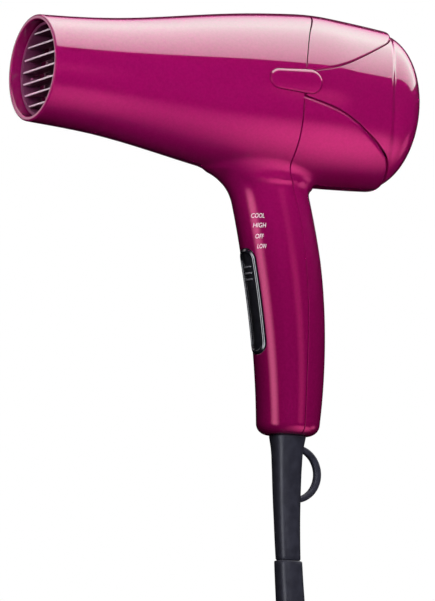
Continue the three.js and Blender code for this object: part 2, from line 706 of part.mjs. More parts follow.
// A bar across the cord holds it against a pull, with a screw at each end.
function cordClamp() {
  const bar = box(6.9, 9.6, -9, 9, CLAMP_Z - 2.2, CLAMP_Z + 2.2);
  const bores = CLAMP_SIDES.map((y) => barX(5, 13, y, CLAMP_Z, 1.5, 8));
  return cut(bar, ...bores);
}
place('cord_clamp', cordClamp(), white);
for (const y of CLAMP_SIDES) {
  const screw = join(barX(-5, 10, y, CLAMP_Z, 1.2, 8), barX(9.9, 11, y, CLAMP_Z, 1.9, 10));
  place(`clamp_screw_${y > 0 ? 'left' : 'right'}`, screw, steel);
}

// ---------------------------------------------------------------- free cord
// From the sleeve down into the coil, and from the coil down to the plug.
const CORD_ENTRY = [
  [9.6, 0, -155.9], [10.1, 0, -160], [10.2, 0, -165], [9.6, 0, -170], [8.1, 0, -175],
  [5.8, 0, -180], [2.7, 0, -184.5], [-1.1, 0, -188.6], [-5.4, 0, -192],
];
const CORD_TAIL = [-231, -235, -240, -245, -250, -255, -260.4].map((z) => [PLUG_X, PLUG_Y, z]);
const cordEntry = sweep(CORD_ENTRY, CORD_R, 12, 10);
const cordTail = sweep(CORD_TAIL, CORD_R, 6, 10);

function coilRing(spread) {
  const [inner, outer] = [COIL_R - COIL_HALF_DEPTH - spread, COIL_R + COIL_HALF_DEPTH + spread];
  const half = COIL_HALF_WIDTH + spread;
  const corner = 3;
  const profile = [
    [inner, -half + corner], [inner + corner, -half], [outer - corner, -half], [outer, -half + corner],
    [outer, half - corner], [outer - corner, half], [inner + corner, half], [inner, half - corner],
    [inner, -half + corner],
  ];
  const ring = new THREE.LatheGeometry(profile.map((p) => new THREE.Vector2(...p)), 28);
  ring.translate(COIL_X, COIL_Y, COIL_Z);
  return solid(ring);
}
place('power_cord', cut(cordEntry, coilRing(GAP)), darkGrey);
place('power_cord_coil', coilRing(0), darkGrey);
place('power_cord_tail', cut(cordTail, coilRing(GAP)), darkGrey);

function cordTie() {
  const [x0, x1] = [COIL_X + COIL_R - COIL_HALF_DEPTH - 1.6, COIL_X + COIL_R + COIL_HALF_DEPTH + 0.6];
  const [y0, y1] = [COIL_Y - COIL_HALF_WIDTH - 0.6, COIL_Y + COIL_HALF_WIDTH + 0.6];
  const [z0, z1] = [COIL_Z - 6, COIL_Z + 6];
  return cut(box(x0 - 1.4, x1 + 1.4, y0 - 1.4, y1 + 1.4, z0, z1), box(x0, x1, y0, y1, z0 - 1, z1 + 1));
}
place('cord_tie', cordTie(), black);

// ---------------------------------------------------------------- plug with its safety switch
const PLUG_BOTTOM = PLUG_TOP - PLUG_HEIGHT;
const BUTTONS = [
  { name: 'reset_button', z: PLUG_TOP - 17, material: red },
  { name: 'test_button', z: PLUG_TOP - 31, material: white },
];
const BUTTON_HALF = { x: 5, z: 3.6 };

function plugOutline(inset) {
  const [w, r] = [PLUG_WIDTH / 2 - inset, 8 - inset];
  const [top, bottom] = [PLUG_TOP - inset, PLUG_BOTTOM + inset];
  const shape = new THREE.Shape();
  shape.absarc(PLUG_X + w - r, top - r, r, 0, Math.PI / 2, false);
  shape.absarc(PLUG_X - w + r, top - r, r, Math.PI / 2, Math.PI, false);
  shape.absarc(PLUG_X - w + r, bottom + r, r, Math.PI, 1.5 * Math.PI, false);
  shape.absarc(PLUG_X + w - r, bottom + r, r, 1.5 * Math.PI, 2 * Math.PI, false);
  shape.closePath();
  return shape;
}

const plugEntry = (radius) => {
  const bore = new THREE.CylinderGeometry(radius, radius, 30, 16);
  bore.rotateX(Math.PI / 2);
  bore.translate(PLUG_X, PLUG_Y, PLUG_TOP + 2);
  return solid(bore);
};

function plugCover() {
  const outside = prism(plugOutline(0), PLUG_FRONT_Y, PLUG_SPLIT_Y - GAP, 5);
  const hollow = prism(plugOutline(2.2), PLUG_FRONT_Y + 2.2, PLUG_SPLIT_Y + 1, 5);
  const holes = BUTTONS.map(({ z }) =>
    box(
      PLUG_X - BUTTON_HALF.x - GAP, PLUG_X + BUTTON_HALF.x + GAP, PLUG_FRONT_Y - 1, PLUG_FRONT_Y + 3,
      z - BUTTON_HALF.z - GAP, z + BUTTON_HALF.z + GAP,
    ),
  );
  return cut(outside, hollow, ...holes, plugEntry(5.5));
}
place('plug_cover', plugCover(), darkGrey);

const BLADES = [
  { name: 'plug_blade_live', x: PLUG_X - 6.35, halfHeight: 3.2 },
  { name: 'plug_blade_neutral', x: PLUG_X + 6.35, halfHeight: 4 },
];
const BLADE_Z = PLUG_TOP - 32;

function plugBase() {
  const outside = prism(plugOutline(0), PLUG_SPLIT_Y, PLUG_BACK_Y, 5);
  const hollow = prism(plugOutline(2.2), PLUG_SPLIT_Y - 1, PLUG_BACK_Y - 2.4, 5);
  const slots = BLADES.map(({ x, halfHeight }) => {
    const reach = halfHeight + GAP;
    return box(x - 1.1, x + 1.1, PLUG_SPLIT_Y, PLUG_BACK_Y + 1, BLADE_Z - reach, BLADE_Z + reach);
  });
  return cut(outside, hollow, ...slots, plugEntry(5.5));
}
place('plug_base', plugBase(), darkGrey);

for (const { name, x, halfHeight } of BLADES) {
  const [front, tip] = [PLUG_SPLIT_Y + 0.5, PLUG_BACK_Y + 17];
  const blade = box(x - 0.76, x + 0.76, front, tip, BLADE_Z - halfHeight, BLADE_Z + halfHeight);
  place(name, blade, brass);
}

const plugBoard = box(
  PLUG_X - 14, PLUG_X + 14, PLUG_Y - 1.2, PLUG_Y + 0.4, PLUG_BOTTOM + 5, PLUG_TOP - 12,
);
place('plug_board', plugBoard, green);

for (const { name, z, material } of BUTTONS) {
  const cap = box(
    PLUG_X - BUTTON_HALF.x, PLUG_X + BUTTON_HALF.x, PLUG_FRONT_Y - 1.6, PLUG_FRONT_Y + 2.6,
    z - BUTTON_HALF.z, z + BUTTON_HALF.z,
  );
  const foot = box(PLUG_X - 6.6, PLUG_X + 6.6, PLUG_FRONT_Y + 2.5, PLUG_FRONT_Y + 4, z - 5, z + 5);
  place(name, join(cap, foot), material);
}

function plugRelief() {
  const points = [
    [CORD_R + GAP, PLUG_TOP - 8], [5, PLUG_TOP - 8], [5, PLUG_TOP + 1], [6.2, PLUG_TOP + 1.2],
    [5, PLUG_TOP + 23], [CORD_R + GAP, PLUG_TOP + 23], [CORD_R + GAP, PLUG_TOP - 8],
  ];
  const geometry = new THREE.LatheGeometry(points.map((p) => new THREE.Vector2(...p)), 16);
  geometry.rotateX(Math.PI / 2);
  geometry.translate(PLUG_X, PLUG_Y, 0);
  return solid(geometry);
}
place('plug_strain_relief', plugRelief(), darkGrey);

export default dryer;
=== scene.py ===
"""Handheld hair dryer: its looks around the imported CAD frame.

Shapes are worked out in millimetres in the row frame (nozzle towards -X, +Z up) and turned into
metres when a mesh is made. The forms and outlines repeat those of the CAD source.
"""
import math

import bmesh
import bpy
import numpy as np
from mathutils import Matrix, Vector


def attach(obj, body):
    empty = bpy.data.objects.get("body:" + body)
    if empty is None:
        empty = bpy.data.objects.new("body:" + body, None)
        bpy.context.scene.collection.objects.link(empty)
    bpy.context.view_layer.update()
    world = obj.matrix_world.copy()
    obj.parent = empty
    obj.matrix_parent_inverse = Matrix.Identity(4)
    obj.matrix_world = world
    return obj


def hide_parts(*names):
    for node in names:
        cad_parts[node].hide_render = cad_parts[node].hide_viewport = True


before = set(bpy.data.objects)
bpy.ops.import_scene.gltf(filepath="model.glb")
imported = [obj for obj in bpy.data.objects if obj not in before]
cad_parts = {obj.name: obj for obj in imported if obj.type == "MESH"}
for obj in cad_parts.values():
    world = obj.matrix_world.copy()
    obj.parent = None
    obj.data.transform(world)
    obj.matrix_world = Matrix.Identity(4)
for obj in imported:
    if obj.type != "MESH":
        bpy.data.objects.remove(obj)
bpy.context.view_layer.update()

MM = 0.001

# ------------------------------------------------------------------ dimensions, in mm
AXIS_Z = 108.0
MOUTH_X = -140.0
SHELL_END_X = 48.9
MOUTH_R = 25.2
GROWTH = 17.4
SHOULDER = 142.0
WALL = 2.4
SEAM_GAP = 0.3
CAP_GAP = 0.16  # between the housing and the intake cap
EDGE = 0.32  # rounding of the shells' edges along their seams
RIM = 1.0  # rounding of the nozzle's rim
RIM_X = -140.7
CAP_EDGE = 1.2  # softer edge where the housing meets the intake cap, above the axis
CAP_LOW_EDGE = 2.0  # and below it
BADGE_GAP = 0.12
HANDLE_BOTTOM = -53.5
HANDLE_CORNER = 5.0
FILLET = 5.0  # between the handle and the barrel
NET_STEP = 1.6

DOME_BASE_X = 33.5
DOME_BASE_R = 39.3
DOME_DEPTH = 23.5
CAP_WALL = 2.0
SLOT_PITCH = 6.4
SLOT_FIELD_R = 25.0
SLOT_HALF = 1.5
CAP_START_X = -20  # the cap's and the ledge's surfaces start here and are then cut to their outlines
WING_END_X = 30  # from here on the cap's surface is made in finer steps
SHOULDER_X = 52  # and from here on in even steps of the radius
LEDGE_R = 37.8
LEDGE_END_X = 33

BADGE = {"small_x": -29.9, "small_r": 4.8, "large_x": -14.0, "large_r": 5.9, "z": 110.4}
SWITCH_Z = 9.0
SWITCH_TILT = math.radians(10.7)
BEZEL = (50.5, 13.2, 5.0)  # length, width and corner radius
WINDOW = (46.6, 9.4, 3.8)
SWITCH_RIBS = (10.5, 13.5, 16.5)
SLIDER = (57.0, 12.6, 2.0)
RIB = (7.2, 0.95, 0.47)
SCREW_HOLES = (49.0, -26.0)
FIN_PITCH = 5.7
FIN = (7.6, 0.7)  # depth along the air's way, and thickness
GRILLE_FRONT = MOUTH_X + 4.7
GRILLE_R = 22.4

RELIEF_TOP = -53.9
RELIEF_TIP = -113.0
SLEEVE_END = -155.0
CORD_BORE = 4.6
CORD_D = 8.5
COIL_CENTRE = (10.4, -230.7)  # X and Z
COIL_INNER_R = 41.0
COIL_OUTER_R = 49.5
COIL_PITCH = 8.75
PLUG_X = -39.1

SEAM = [(4, 156), (1, 149.5), (-9.4, 136), (-15, 121), (-16.8, 105), (-14.9, 88), (-12, 73),
        (-6.5, 62), (-2.6, 50), (0.4, 35), (2.6, 18), (3.8, 0), (4, -25), (3.9, -60)]
CAP_UPPER = [(-13, 116), (-11, 116.3), (-1.1, 118.6), (7.6, 122), (17.4, 127), (28.3, 132.9),
             (36.1, 137.5), (42.5, 143.5), (48, 153), (60, 175)]
CAP_LOWER = [(-17, 103.8), (-13, 102.8), (2, 99), (13.5, 94.3), (20.6, 90.4), (29.2, 85.5),
             (36.8, 80.2), (42, 74.2), (47.5, 68.5), (48.8, 63), (60, 20)]
FAR = 50.0  # the distance given by an outline that isn't on this side of the object


def put_in_scene(name, data):
    obj = bpy.data.objects.new(name, data)
    bpy.context.scene.collection.objects.link(obj)
    return obj


# ------------------------------------------------------------------ camera
def add_camera():
    """The photograph's viewpoint: from the nozzle's side, a little below the object."""
    toward = Vector((-0.4721, -0.8712, -0.1345)).normalized()
    right = Vector((-0.093, -0.1025, 0.9904)).cross(toward).normalized()
    up = toward.cross(right)
    target = Vector((-38.07, 0.0, 7.82)) * MM
    data = bpy.data.cameras.new("camera")
    data.lens = 263.6
    data.sensor_width = 36.0
    data.clip_end = 100.0
    camera = put_in_scene("camera", data)
    camera.matrix_world = Matrix.Translation(target + toward * 2.09) @ Matrix(
        (right, up, toward)).transposed().to_4x4()
    bpy.context.scene.camera = camera


add_camera()


# ------------------------------------------------------------------ materials
def set_inputs(node, **inputs):
    """Sets a node's inputs by name, with _ for each space in it."""
    for key, value in inputs.items():
        node.inputs[key.replace("_", " ")].default_value = value
    return node


class Nodes:
    """A material's node tree with short ways to add to it."""

    def __init__(self, name):
        self.material = bpy.data.materials.new(name)
        self.material.use_nodes = True
        self.tree = self.material.node_tree
        self.shader = self.tree.nodes["Principled BSDF"]
        self.coordinate = self.tree.nodes.new("ShaderNodeTexCoord").outputs["Object"]

    def add(self, kind, **inputs):
        return set_inputs(self.tree.nodes.new(kind), **inputs)

    def link(self, output, node, socket):
        self.tree.links.new(output, node.inputs[socket])

    def noise(self, scale, detail=3.0):
        node = self.add("ShaderNodeTexNoise", Scale=scale, Detail=detail)
        self.link(self.coordinate, node, "Vector")
        return node.outputs["Fac"]

    def ramp(self, output, low, high, start=0.35, end=0.65):
        node = self.add("ShaderNodeValToRGB")
        first, last = node.color_ramp.elements
        first.position, first.color = start, (*low, 1)
        last.position, last.color = end, (*high, 1)
        self.link(output, node, "Fac")
        return node.outputs["Color"]

    def span(self, output, low, high):
        node = self.add("ShaderNodeMapRange", To_Min=low, To_Max=high)
        self.link(output, node, "Value")
        return node.outputs["Result"]

    def bump(self, output, distance, strength=0.4):
        node = self.add("ShaderNodeBump", Strength=strength, Distance=distance)
        self.link(output, node, "Height")
        self.link(node.outputs["Normal"], self.shader, "Normal")


def surface(name, low, high, scale, roughness, metallic=0.0, bump=None, coat=0.0, ior=1.5):
    """A surface whose colour drifts between two tones, with uneven gloss and a fine grain.

    bump is the grain's scale and its height in micrometres.
    """
    nodes = Nodes(name)
    nodes.link(nodes.ramp(nodes.noise(scale), low, high), nodes.shader, "Base Color")
    nodes.link(nodes.span(nodes.noise(scale * 0.6, 5.0), *roughness), nodes.shader, "Roughness")
    set_inputs(nodes.shader, Metallic=metallic, IOR=ior, Coat_Weight=coat, Coat_Roughness=0.03)
    if bump:
        nodes.bump(nodes.noise(bump[0], 2.0), bump[1] * 1e-6)
    return nodes.material


shell_paint = surface("pearl_magenta", (0.236, 0.0022, 0.077), (0.266, 0.0030, 0.089), 900,
                      (0.30, 0.38), metallic=0.3, bump=(2600, 4), coat=1.0)
set_inputs(shell_paint.node_tree.nodes["Principled BSDF"], Coat_IOR=2.0, Specular_IOR_Level=0.0)
switch_black = surface("switch_black", (0.006, 0.006, 0.010), (0.012, 0.012, 0.018), 300,
                       (0.30, 0.42), bump=(3000, 10))
cord_rubber = surface("charcoal_rubber", (0.017, 0.017, 0.027), (0.026, 0.026, 0.040), 260,
                      (0.36, 0.50), bump=(2400, 20))
plug_plastic = surface("charcoal_plastic", (0.020, 0.022, 0.032), (0.030, 0.032, 0.044), 200,
                       (0.38, 0.50), bump=(3200, 30))
heat_plastic = surface("heat_resistant_plastic", (0.090, 0.018, 0.050), (0.115, 0.024, 0.066), 180,
                       (0.45, 0.60), bump=(2800, 20))
duct_plastic = surface("duct_plastic", (0.030, 0.022, 0.030), (0.045, 0.032, 0.044), 180,
                       (0.40, 0.55), bump=(2400, 20))
mica_sheet = surface("mica_sheet", (0.11, 0.036, 0.066), (0.16, 0.056, 0.095), 140,
                     (0.55, 0.8), bump=(700, 80))
ceramic = surface("ceramic", (0.62, 0.60, 0.55), (0.72, 0.70, 0.66), 240, (0.5, 0.65),
                  bump=(2200, 30))
white_plastic = surface("white_plastic", (0.66, 0.65, 0.61), (0.74, 0.73, 0.70), 160, (0.3, 0.42),
                        bump=(2600, 20))
red_plastic = surface("red_plastic", (0.36, 0.010, 0.014), (0.44, 0.016, 0.020), 160, (0.3, 0.42),
                      bump=(2600, 20))
board_green = surface("circuit_board", (0.012, 0.075, 0.030), (0.020, 0.110, 0.045), 420,
                      (0.28, 0.40), bump=(1500, 40))
zinc_steel = surface("zinc_steel", (0.46, 0.46, 0.47), (0.60, 0.60, 0.61), 300, (0.25, 0.42),
                     metallic=1.0, bump=(1800, 20))
heat_wire = surface("heating_wire", (0.20, 0.17, 0.15), (0.36, 0.32, 0.28), 500, (0.4, 0.6),
                    metallic=1.0, bump=(1600, 40))
brass = surface("brass", (0.58, 0.40, 0.13), (0.68, 0.49, 0.19), 260, (0.22, 0.38), metallic=1.0,
                bump=(1800, 20))
bezel_gloss = surface("bezel_gloss", (0.005, 0.005, 0.009), (0.010, 0.010, 0.016), 300,
                      (0.14, 0.20), ior=2.0, bump=(3000, 4))
# The slider's ribs are a lighter grey than the black slider: a painted highlight for the light their
# crests catch.
painted_rib_highlight = surface("rib_highlight", (0.10, 0.10, 0.12), (0.16, 0.16, 0.18), 300, (0.2, 0.3))
fin_plastic = surface("fin_plastic", (0.130, 0.030, 0.075), (0.165, 0.040, 0.098), 180,
                      (0.34, 0.46), bump=(2800, 10))
# Pale paint for the fins' front faces: a painted highlight along the edges that face the nozzle's mouth.
painted_fin_highlight = surface("painted_fin_highlight", (0.560, 0.430, 0.500), (0.640, 0.500, 0.580), 180,
                    (0.22, 0.32), bump=(2800, 10))
white_print = surface("white_print", (0.80, 0.74, 0.78), (0.86, 0.82, 0.85), 700, (0.35, 0.45))


# ------------------------------------------------------------------ meshes
def keep_object(name, mesh, material, body, stands_for=()):
    obj = put_in_scene(name, mesh)
    mesh.materials.clear()
    mesh.materials.append(material)
    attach(obj, body)
    if stands_for:
        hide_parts(*stands_for)
    return obj


def keep_painted(name, mesh, *nodes, body="housing"):
    keep_object(name, mesh, shell_paint, body, nodes)


def smooth(mesh, sharp_from=None):
    """Shades a mesh smooth, up to an angle in degrees where one is given."""
    mesh.polygons.foreach_set("use_smooth", [True] * len(mesh.polygons))
    if sharp_from:
        mesh.set_sharp_from_angle(angle=math.radians(sharp_from))
    return mesh


def mesh_from(points, faces, corner_normals):
    """A smooth-shaded mesh from points in mm, with its own normals."""
    mesh = bpy.data.meshes.new("mesh")
    mesh.from_pydata((points * MM).tolist(), [], faces.tolist())
    smooth(mesh)
    mesh.normals_split_custom_set(corner_normals.reshape(-1, 3).tolist())
    return mesh


def closed_mesh(points, faces, weld=False):
    """A mesh from points in mm whose faces are turned outwards; weld merges points in one place."""
    mesh = bpy.data.meshes.new("mesh")
    mesh.from_pydata((np.vstack(points) * MM).tolist(), [], faces)
    work = bmesh.new()
    work.from_mesh(mesh)
    if weld:
        bmesh.ops.remove_doubles(work, verts=work.verts, dist=1e-6)
        bmesh.ops.dissolve_degenerate(work, edges=work.edges, dist=1e-7)
    bmesh.ops.recalc_face_normals(work, faces=work.faces)
    work.to_mesh(mesh)
    work.free()
    return mesh


def ring_faces(count, rings, closed=False):
    """Quads between rings of count points each, and from the last to the first where closed."""
    faces = []
    for k in range(rings if closed else rings - 1):
        here, there = k * count, (k + 1) % rings * count
        for i in range(count):
            j = (i + 1) % count
            faces.append((here + i, here + j, there + j, there + i))
    return faces


def unit(vectors):
    return vectors / np.maximum(np.linalg.norm(vectors, axis=-1, keepdims=True), 1e-9)


class Skin:
    """An open triangle surface with a normal at each point."""

    def __init__(self, points, normals, triangles):
        self.points, self.normals, self.triangles = points, normals, triangles

    def clip(self, field):
        """The part where field(points) is positive, cut straight through its triangles."""
        value = field(self.points)
        value = np.where(np.abs(value) < 1e-6, 1e-6, value)
        inside = value > 0
        count = inside[self.triangles].sum(1)
        parts = [self.triangles[count == 3]]
        cut_edges = []
        for wanted in (1, 2):
            chosen = self.triangles[count == wanted]
            odd = np.argmax(inside[chosen] == (wanted == 1), axis=1)
            turned = np.stack([chosen[np.arange(len(chosen)), (odd + k) % 3] for k in range(3)], 1)
            cut_edges.append(turned)
        pairs = np.concatenate([t[:, [0, k]] for t in cut_edges for k in (1, 2)])
        ordered = np.sort(pairs, axis=1)
        unique, index = np.unique(ordered, axis=0, return_inverse=True)
        index = index.reshape(-1) + len(self.points)
        first, second = unique[:, 0], unique[:, 1]
        share = (value[first] / (value[first] - value[second]))[:, None]
        points = self.points[first] * (1 - share) + self.points[second] * share
        points = np.concatenate([self.points, points])
        normals = self.normals[first] * (1 - share) + self.normals[second] * share
        normals = np.concatenate([self.normals, unit(normals)])
        one, two = cut_edges
        n1, n2 = len(one), len(two)
        ab, ac = index[:n1], index[n1:2 * n1]
        parts.append(np.stack([one[:, 0], ab, ac], 1))
        ab, ac = index[2 * n1:2 * n1 + n2], index[2 * n1 + n2:]
        parts.append(np.stack([two[:, 1], two[:, 2], ac], 1))
        parts.append(np.stack([two[:, 1], ac, ab], 1))
        return Skin(points, normals, np.concatenate(parts)).compact()

    def compact(self):
        used, flat = np.unique(self.triangles, return_inverse=True)
        return Skin(self.points[used], self.normals[used], flat.reshape(-1, 3))

    def border(self):
        """Edges with a triangle on one side only, in that triangle's direction."""
        edges = np.concatenate([self.triangles[:, ends] for ends in ([0, 1], [1, 2], [2, 0])])
        size = len(self.points)
        keys = edges[:, 0] * size + edges[:, 1]
        back = edges[:, 1] * size + edges[:, 0]
        return edges[~np.isin(keys, back)]

    def thick(self, wall, edge, inner_edge=0.1):
        """A closed shell below this surface, with rounded edges. edge may differ from point to point."""
        border = self.border()
        size = len(self.points)
        edge = np.broadcast_to(np.asarray(edge, float), size)
        along = self.points[border[:, 1]] - self.points[border[:, 0]]
        outward = np.zeros((size, 3))
        for side in (0, 1):
            np.add.at(outward, border[:, side], np.cross(along, self.normals[border[:, side]]))
        for _ in range(3):  # evens out the directions along the border
            spread = outward.copy()
            np.add.at(spread, border[:, 0], outward[border[:, 1]] * 0.5)
            np.add.at(spread, border[:, 1], outward[border[:, 0]] * 0.5)
            outward = spread
        rim = np.unique(border)
        slot = np.full(size, -1)
        slot[rim] = np.arange(len(rim))
        way = unit(outward[rim])
        normal, radius, base = self.normals[rim], edge[rim][:, None], self.points[rim]
        way = unit(way - normal * np.sum(way * normal, axis=1, keepdims=True))
        inner = np.minimum(inner_edge + (radius - EDGE).clip(0), wall - radius)
        rings, ring_normals = [], []
        for step in range(1, 5):
            angle = step / 4 * math.pi / 2
            rings.append(base + way * radius * math.sin(angle)
                         - normal * radius * (1 - math.cos(angle)))
            ring_normals.append(unit(normal * math.cos(angle) + way * math.sin(angle)))
        for step in range(4):
            angle = step / 3 * math.pi / 2
            rings.append(base + way * (radius - inner * (1 - math.cos(angle)))
                         - normal * (wall - inner * (1 - math.sin(angle))))
            ring_normals.append(unit(way * math.cos(angle) - normal * math.sin(angle)))
        count = len(rings)
        points = np.concatenate([self.points, *rings, self.points - self.normals * wall])
        start, end = slot[border[:, 0]], slot[border[:, 1]]
        levels = [border[:, 0]] + [size + k * len(rim) + start for k in range(count)]
        levels_end = [border[:, 1]] + [size + k * len(rim) + end for k in range(count)]
        inside_at = size + count * len(rim)
        levels.append(inside_at + border[:, 0])
        levels_end.append(inside_at + border[:, 1])
        all_normals = np.concatenate([self.normals, *ring_normals, -self.normals])
        faces = [self.triangles]
        for k in range(len(levels) - 1):
            a, b, c, d = levels_end[k], levels[k], levels[k + 1], levels_end[k + 1]
            faces.append(np.stack([a, b, c], 1))
            faces.append(np.stack([a, c, d], 1))
        faces.append(self.triangles[:, ::-1] + inside_at)
        faces = np.concatenate(faces)
        return points, faces, all_normals[faces]


# ------------------------------------------------------------------ the housing as a distance field
def smooth_min(a, b, width):
    blend = np.maximum(width - np.abs(a - b), 0) / width
    return np.minimum(a, b) - blend * blend * width / 4


def barrel_radius(x):
    along = x - MOUTH_X
    t = along / SHOULDER
    wave = 0.065 * np.sin(2 * np.pi * t) + 0.045 * np.sin(np.pi * t)
    front = MOUTH_R + GROWTH * (t - wave)
    past = along - SHOULDER
    rear = MOUTH_R + GROWTH - 0.045 * past - 0.0006 * np.abs(past) * past
    return smooth_min(front, rear, 1.2)


def lip_tuck(x, z):
    """The rear lip rolls in, more at the bottom than at the top."""
    radius = 2.0 + 2.4 * np.clip((AXIS_Z - z) / 40, 0, 1)
    over = np.clip(x - (SHELL_END_X + 0.4 - radius), 0, radius * 0.985)
    return radius - np.sqrt(radius ** 2 - over ** 2)


def form_radius(x, z):
    """The barrel is a little flatter underneath, most of all behind the handle."""
    nozzle = 0.55 * np.clip((x + 135) / 30, 0, 1)
    behind = 1.2 * np.clip((x + 45) / 45, 0, 1) * np.clip((48 - x) / 40, 0, 1)
    under = np.clip((AXIS_Z - z) / 42, 0, 1)
    return barrel_radius(x) - (nozzle + behind) * under * under * (3 - 2 * under)


def barrel_field(p):
    x, y, z = p[:, 0], p[:, 1], p[:, 2]
    slope = (barrel_radius(x + 0.5) - barrel_radius(x - 0.5)) ** 2
    return (np.hypot(y, z - AXIS_Z) - form_radius(x, z) + lip_tuck(x, z)) / np.sqrt(1 + slope)


def handle_centre(z):
    return 2.5 - 13.4 * ((z + 40) / 97) ** 2


def flare(z, start, radius, most):
    rise = np.clip(z - start, 0, radius * 0.97)
    return np.minimum(radius - np.sqrt(radius ** 2 - rise ** 2), most)


def handle_section(z):
    """Half depth to the front and to the rear, and half width."""
    down = np.clip(32 - z, 0, None) / 80
    front = 19.8 - 4.1 * down ** 1.4 + flare(z, 56, 16, 9)
    rear = 20.4 - 4.9 * down ** 1.4 + flare(z, 61, 5, 2)
    return front, rear, 15.6 - 1.4 * down + flare(z, 61, 8, 2)


def handle_field(p):
    x, y, z = p[:, 0], p[:, 1], p[:, 2]
    front, rear, side = handle_section(z)
    u = x - handle_centre(z)
    reach = np.where(u < 0, front, rear)
    ratio = np.maximum(np.hypot(u / reach, y / side), 1e-6)
    steep = np.maximum(np.hypot(u / reach ** 2, y / side ** 2), 1e-6)
    sides = (ratio - 1) * ratio / steep
    ends = np.maximum(HANDLE_BOTTOM - z, z - 92)
    a, b = sides + HANDLE_CORNER, ends + HANDLE_CORNER
    return np.minimum(np.maximum(a, b), 0) + np.hypot(a.clip(0), b.clip(0)) - HANDLE_CORNER


def body_field(p):
    """Barrel and handle with a rounded fillet between them."""
    a, b = barrel_field(p), handle_field(p)
    corner = np.hypot((FILLET - a).clip(0), (FILLET - b).clip(0))
    return np.maximum(FILLET, np.minimum(a, b)) - corner


def gradient(field, p, reach=0.15):
    steps = np.eye(3) * reach
    return np.stack([field(p + s) - field(p - s) for s in steps], 1) / (2 * reach)


def project(field, p, rounds=5):
    for _ in range(rounds):
        slope = gradient(field, p)
        p = p - slope * (field(p) / np.maximum((slope ** 2).sum(1), 0.05))[:, None]
    return p


def surface_net(field, low, high, step):
    """A quad net near the zero level of field, moved onto it and evened out."""
    axes = [np.arange(a, b + step, step) for a, b in zip(low, high)]
    grid = np.stack(np.meshgrid(*axes, indexing="ij"), -1)
    shape = grid.shape[:3]
    inside = field(grid.reshape(-1, 3)).reshape(shape) < 0
    cells = tuple(n - 1 for n in shape)
    count = sum(inside[i:i + cells[0], j:j + cells[1], k:k + cells[2]].astype(int)
                for i in (0, 1) for j in (0, 1) for k in (0, 1))
    mixed = (count > 0) & (count < 8)
    index = np.full(cells, -1)
    index[mixed] = np.arange(mixed.sum())
    points = grid[:-1, :-1, :-1][mixed] + step / 2
    quads = []
    for axis in range(3):
        side, other = (axis + 1) % 3, (axis + 2) % 3
        low_end = np.moveaxis(inside, (axis, side, other), (0, 1, 2))
        cell = np.moveaxis(index, (axis, side, other), (0, 1, 2))
        here, there = low_end[:-1, 1:-1, 1:-1], low_end[1:, 1:-1, 1:-1]
        around = [cell[:, :-1, :-1], cell[:, 1:, :-1], cell[:, 1:, 1:], cell[:, :-1, 1:]]
        for crossing, order in ((here & ~there, (0, 1, 2, 3)), (~here & there, (3, 2, 1, 0))):
            quads.append(np.stack([around[k][crossing] for k in order], 1))
    quads = np.concatenate(quads)
    points = project(field, points)
    edges = np.concatenate([quads[:, [k, (k + 1) % 4]] for k in range(4)])
    valence = np.bincount(edges.reshape(-1), minlength=len(points))[:, None]
    for _ in range(4):
        total = np.zeros_like(points)
        np.add.at(total, edges[:, 0], points[edges[:, 1]])
        np.add.at(total, edges[:, 1], points[edges[:, 0]])
        points = project(field, points * 0.4 + total / valence * 0.6, 2)
    triangles = np.concatenate([quads[:, [0, 1, 2]], quads[:, [0, 2, 3]]])
    return Skin(points, unit(gradient(field, points)), triangles)


# ------------------------------------------------------------------ outlines in side view
def catmull_rom(knots, steps=24):
    knots = np.array(knots, float)
    padded = np.vstack([2 * knots[0] - knots[1], knots, 2 * knots[-1] - knots[-2]])
    t = np.linspace(0, 1, steps, endpoint=False)[:, None]
    rows = []
    for k in range(len(knots) - 1):
        a, b, c, d = padded[k:k + 4]
        rows.append(0.5 * (2 * b + (c - a) * t + (2 * a - 5 * b + 4 * c - d) * t ** 2
                           + (3 * b - a - 3 * c + d) * t ** 3))
    return np.vstack(rows + [knots[-1:]])


seam_line = catmull_rom(SEAM)[::-1]
upper_line = catmull_rom(CAP_UPPER)
lower_line = catmull_rom(CAP_LOWER)


def past_line(value, at, line_value, line_at):
    """Signed distance of value past a line that gives one value at each place."""
    on_line = np.interp(at, line_at, line_value)
    slope = (np.interp(at + 0.2, line_at, line_value) - np.interp(at - 0.2, line_at, line_value)) / 0.4
    return (value - on_line) / np.sqrt(1 + slope ** 2)


def behind_seam(p):
    return past_line(p[:, 0], p[:, 2], seam_line[:, 0], seam_line[:, 1])


def in_cap(p):
    """How far inside the intake cap's outline a point is, seen from the side."""
    below = -past_line(p[:, 2], p[:, 0], upper_line[:, 1], upper_line[:, 0])
    above = past_line(p[:, 2], p[:, 0], lower_line[:, 1], lower_line[:, 0])
    return np.minimum(np.minimum(below, above), behind_seam(p))


def cap_edge(p):
    """Rounding of the housing's edge where it meets the cap."""
    return np.where(p[:, 2] < AXIS_Z, CAP_LOW_EDGE, CAP_EDGE)


def off_badge(p):
    """Distance outside the egg-shaped badge's outline, seen from the side."""
    b = BADGE
    t = np.clip((p[:, 0] - b["small_x"]) / (b["large_x"] - b["small_x"]), 0, 1)
    middle = b["small_x"] + t * (b["large_x"] - b["small_x"])
    radius = b["small_r"] + t * (b["large_r"] - b["small_r"])
    return np.hypot(p[:, 0] - middle, p[:, 2] - b["z"]) - radius


def off_bezel(p):
    """Distance outside the switch bezel's outline, on the front of the handle."""
    length, width, corner = BEZEL
    q = np.abs(np.stack([p[:, 1], (p[:, 2] - SWITCH_Z) / math.cos(SWITCH_TILT)], 1))
    q = q - np.array([width / 2 - corner, length / 2 - corner])
    flat = np.hypot(*q.clip(0).T) + np.minimum(q.max(1), 0) - corner
    return np.where(p[:, 0] < handle_centre(p[:, 2]) - 4, flat, FAR)


def off_cord_hole(p):
    return np.where(p[:, 2] < -48, np.hypot(p[:, 0] - 2.3, p[:, 1]) - 8.0, FAR)


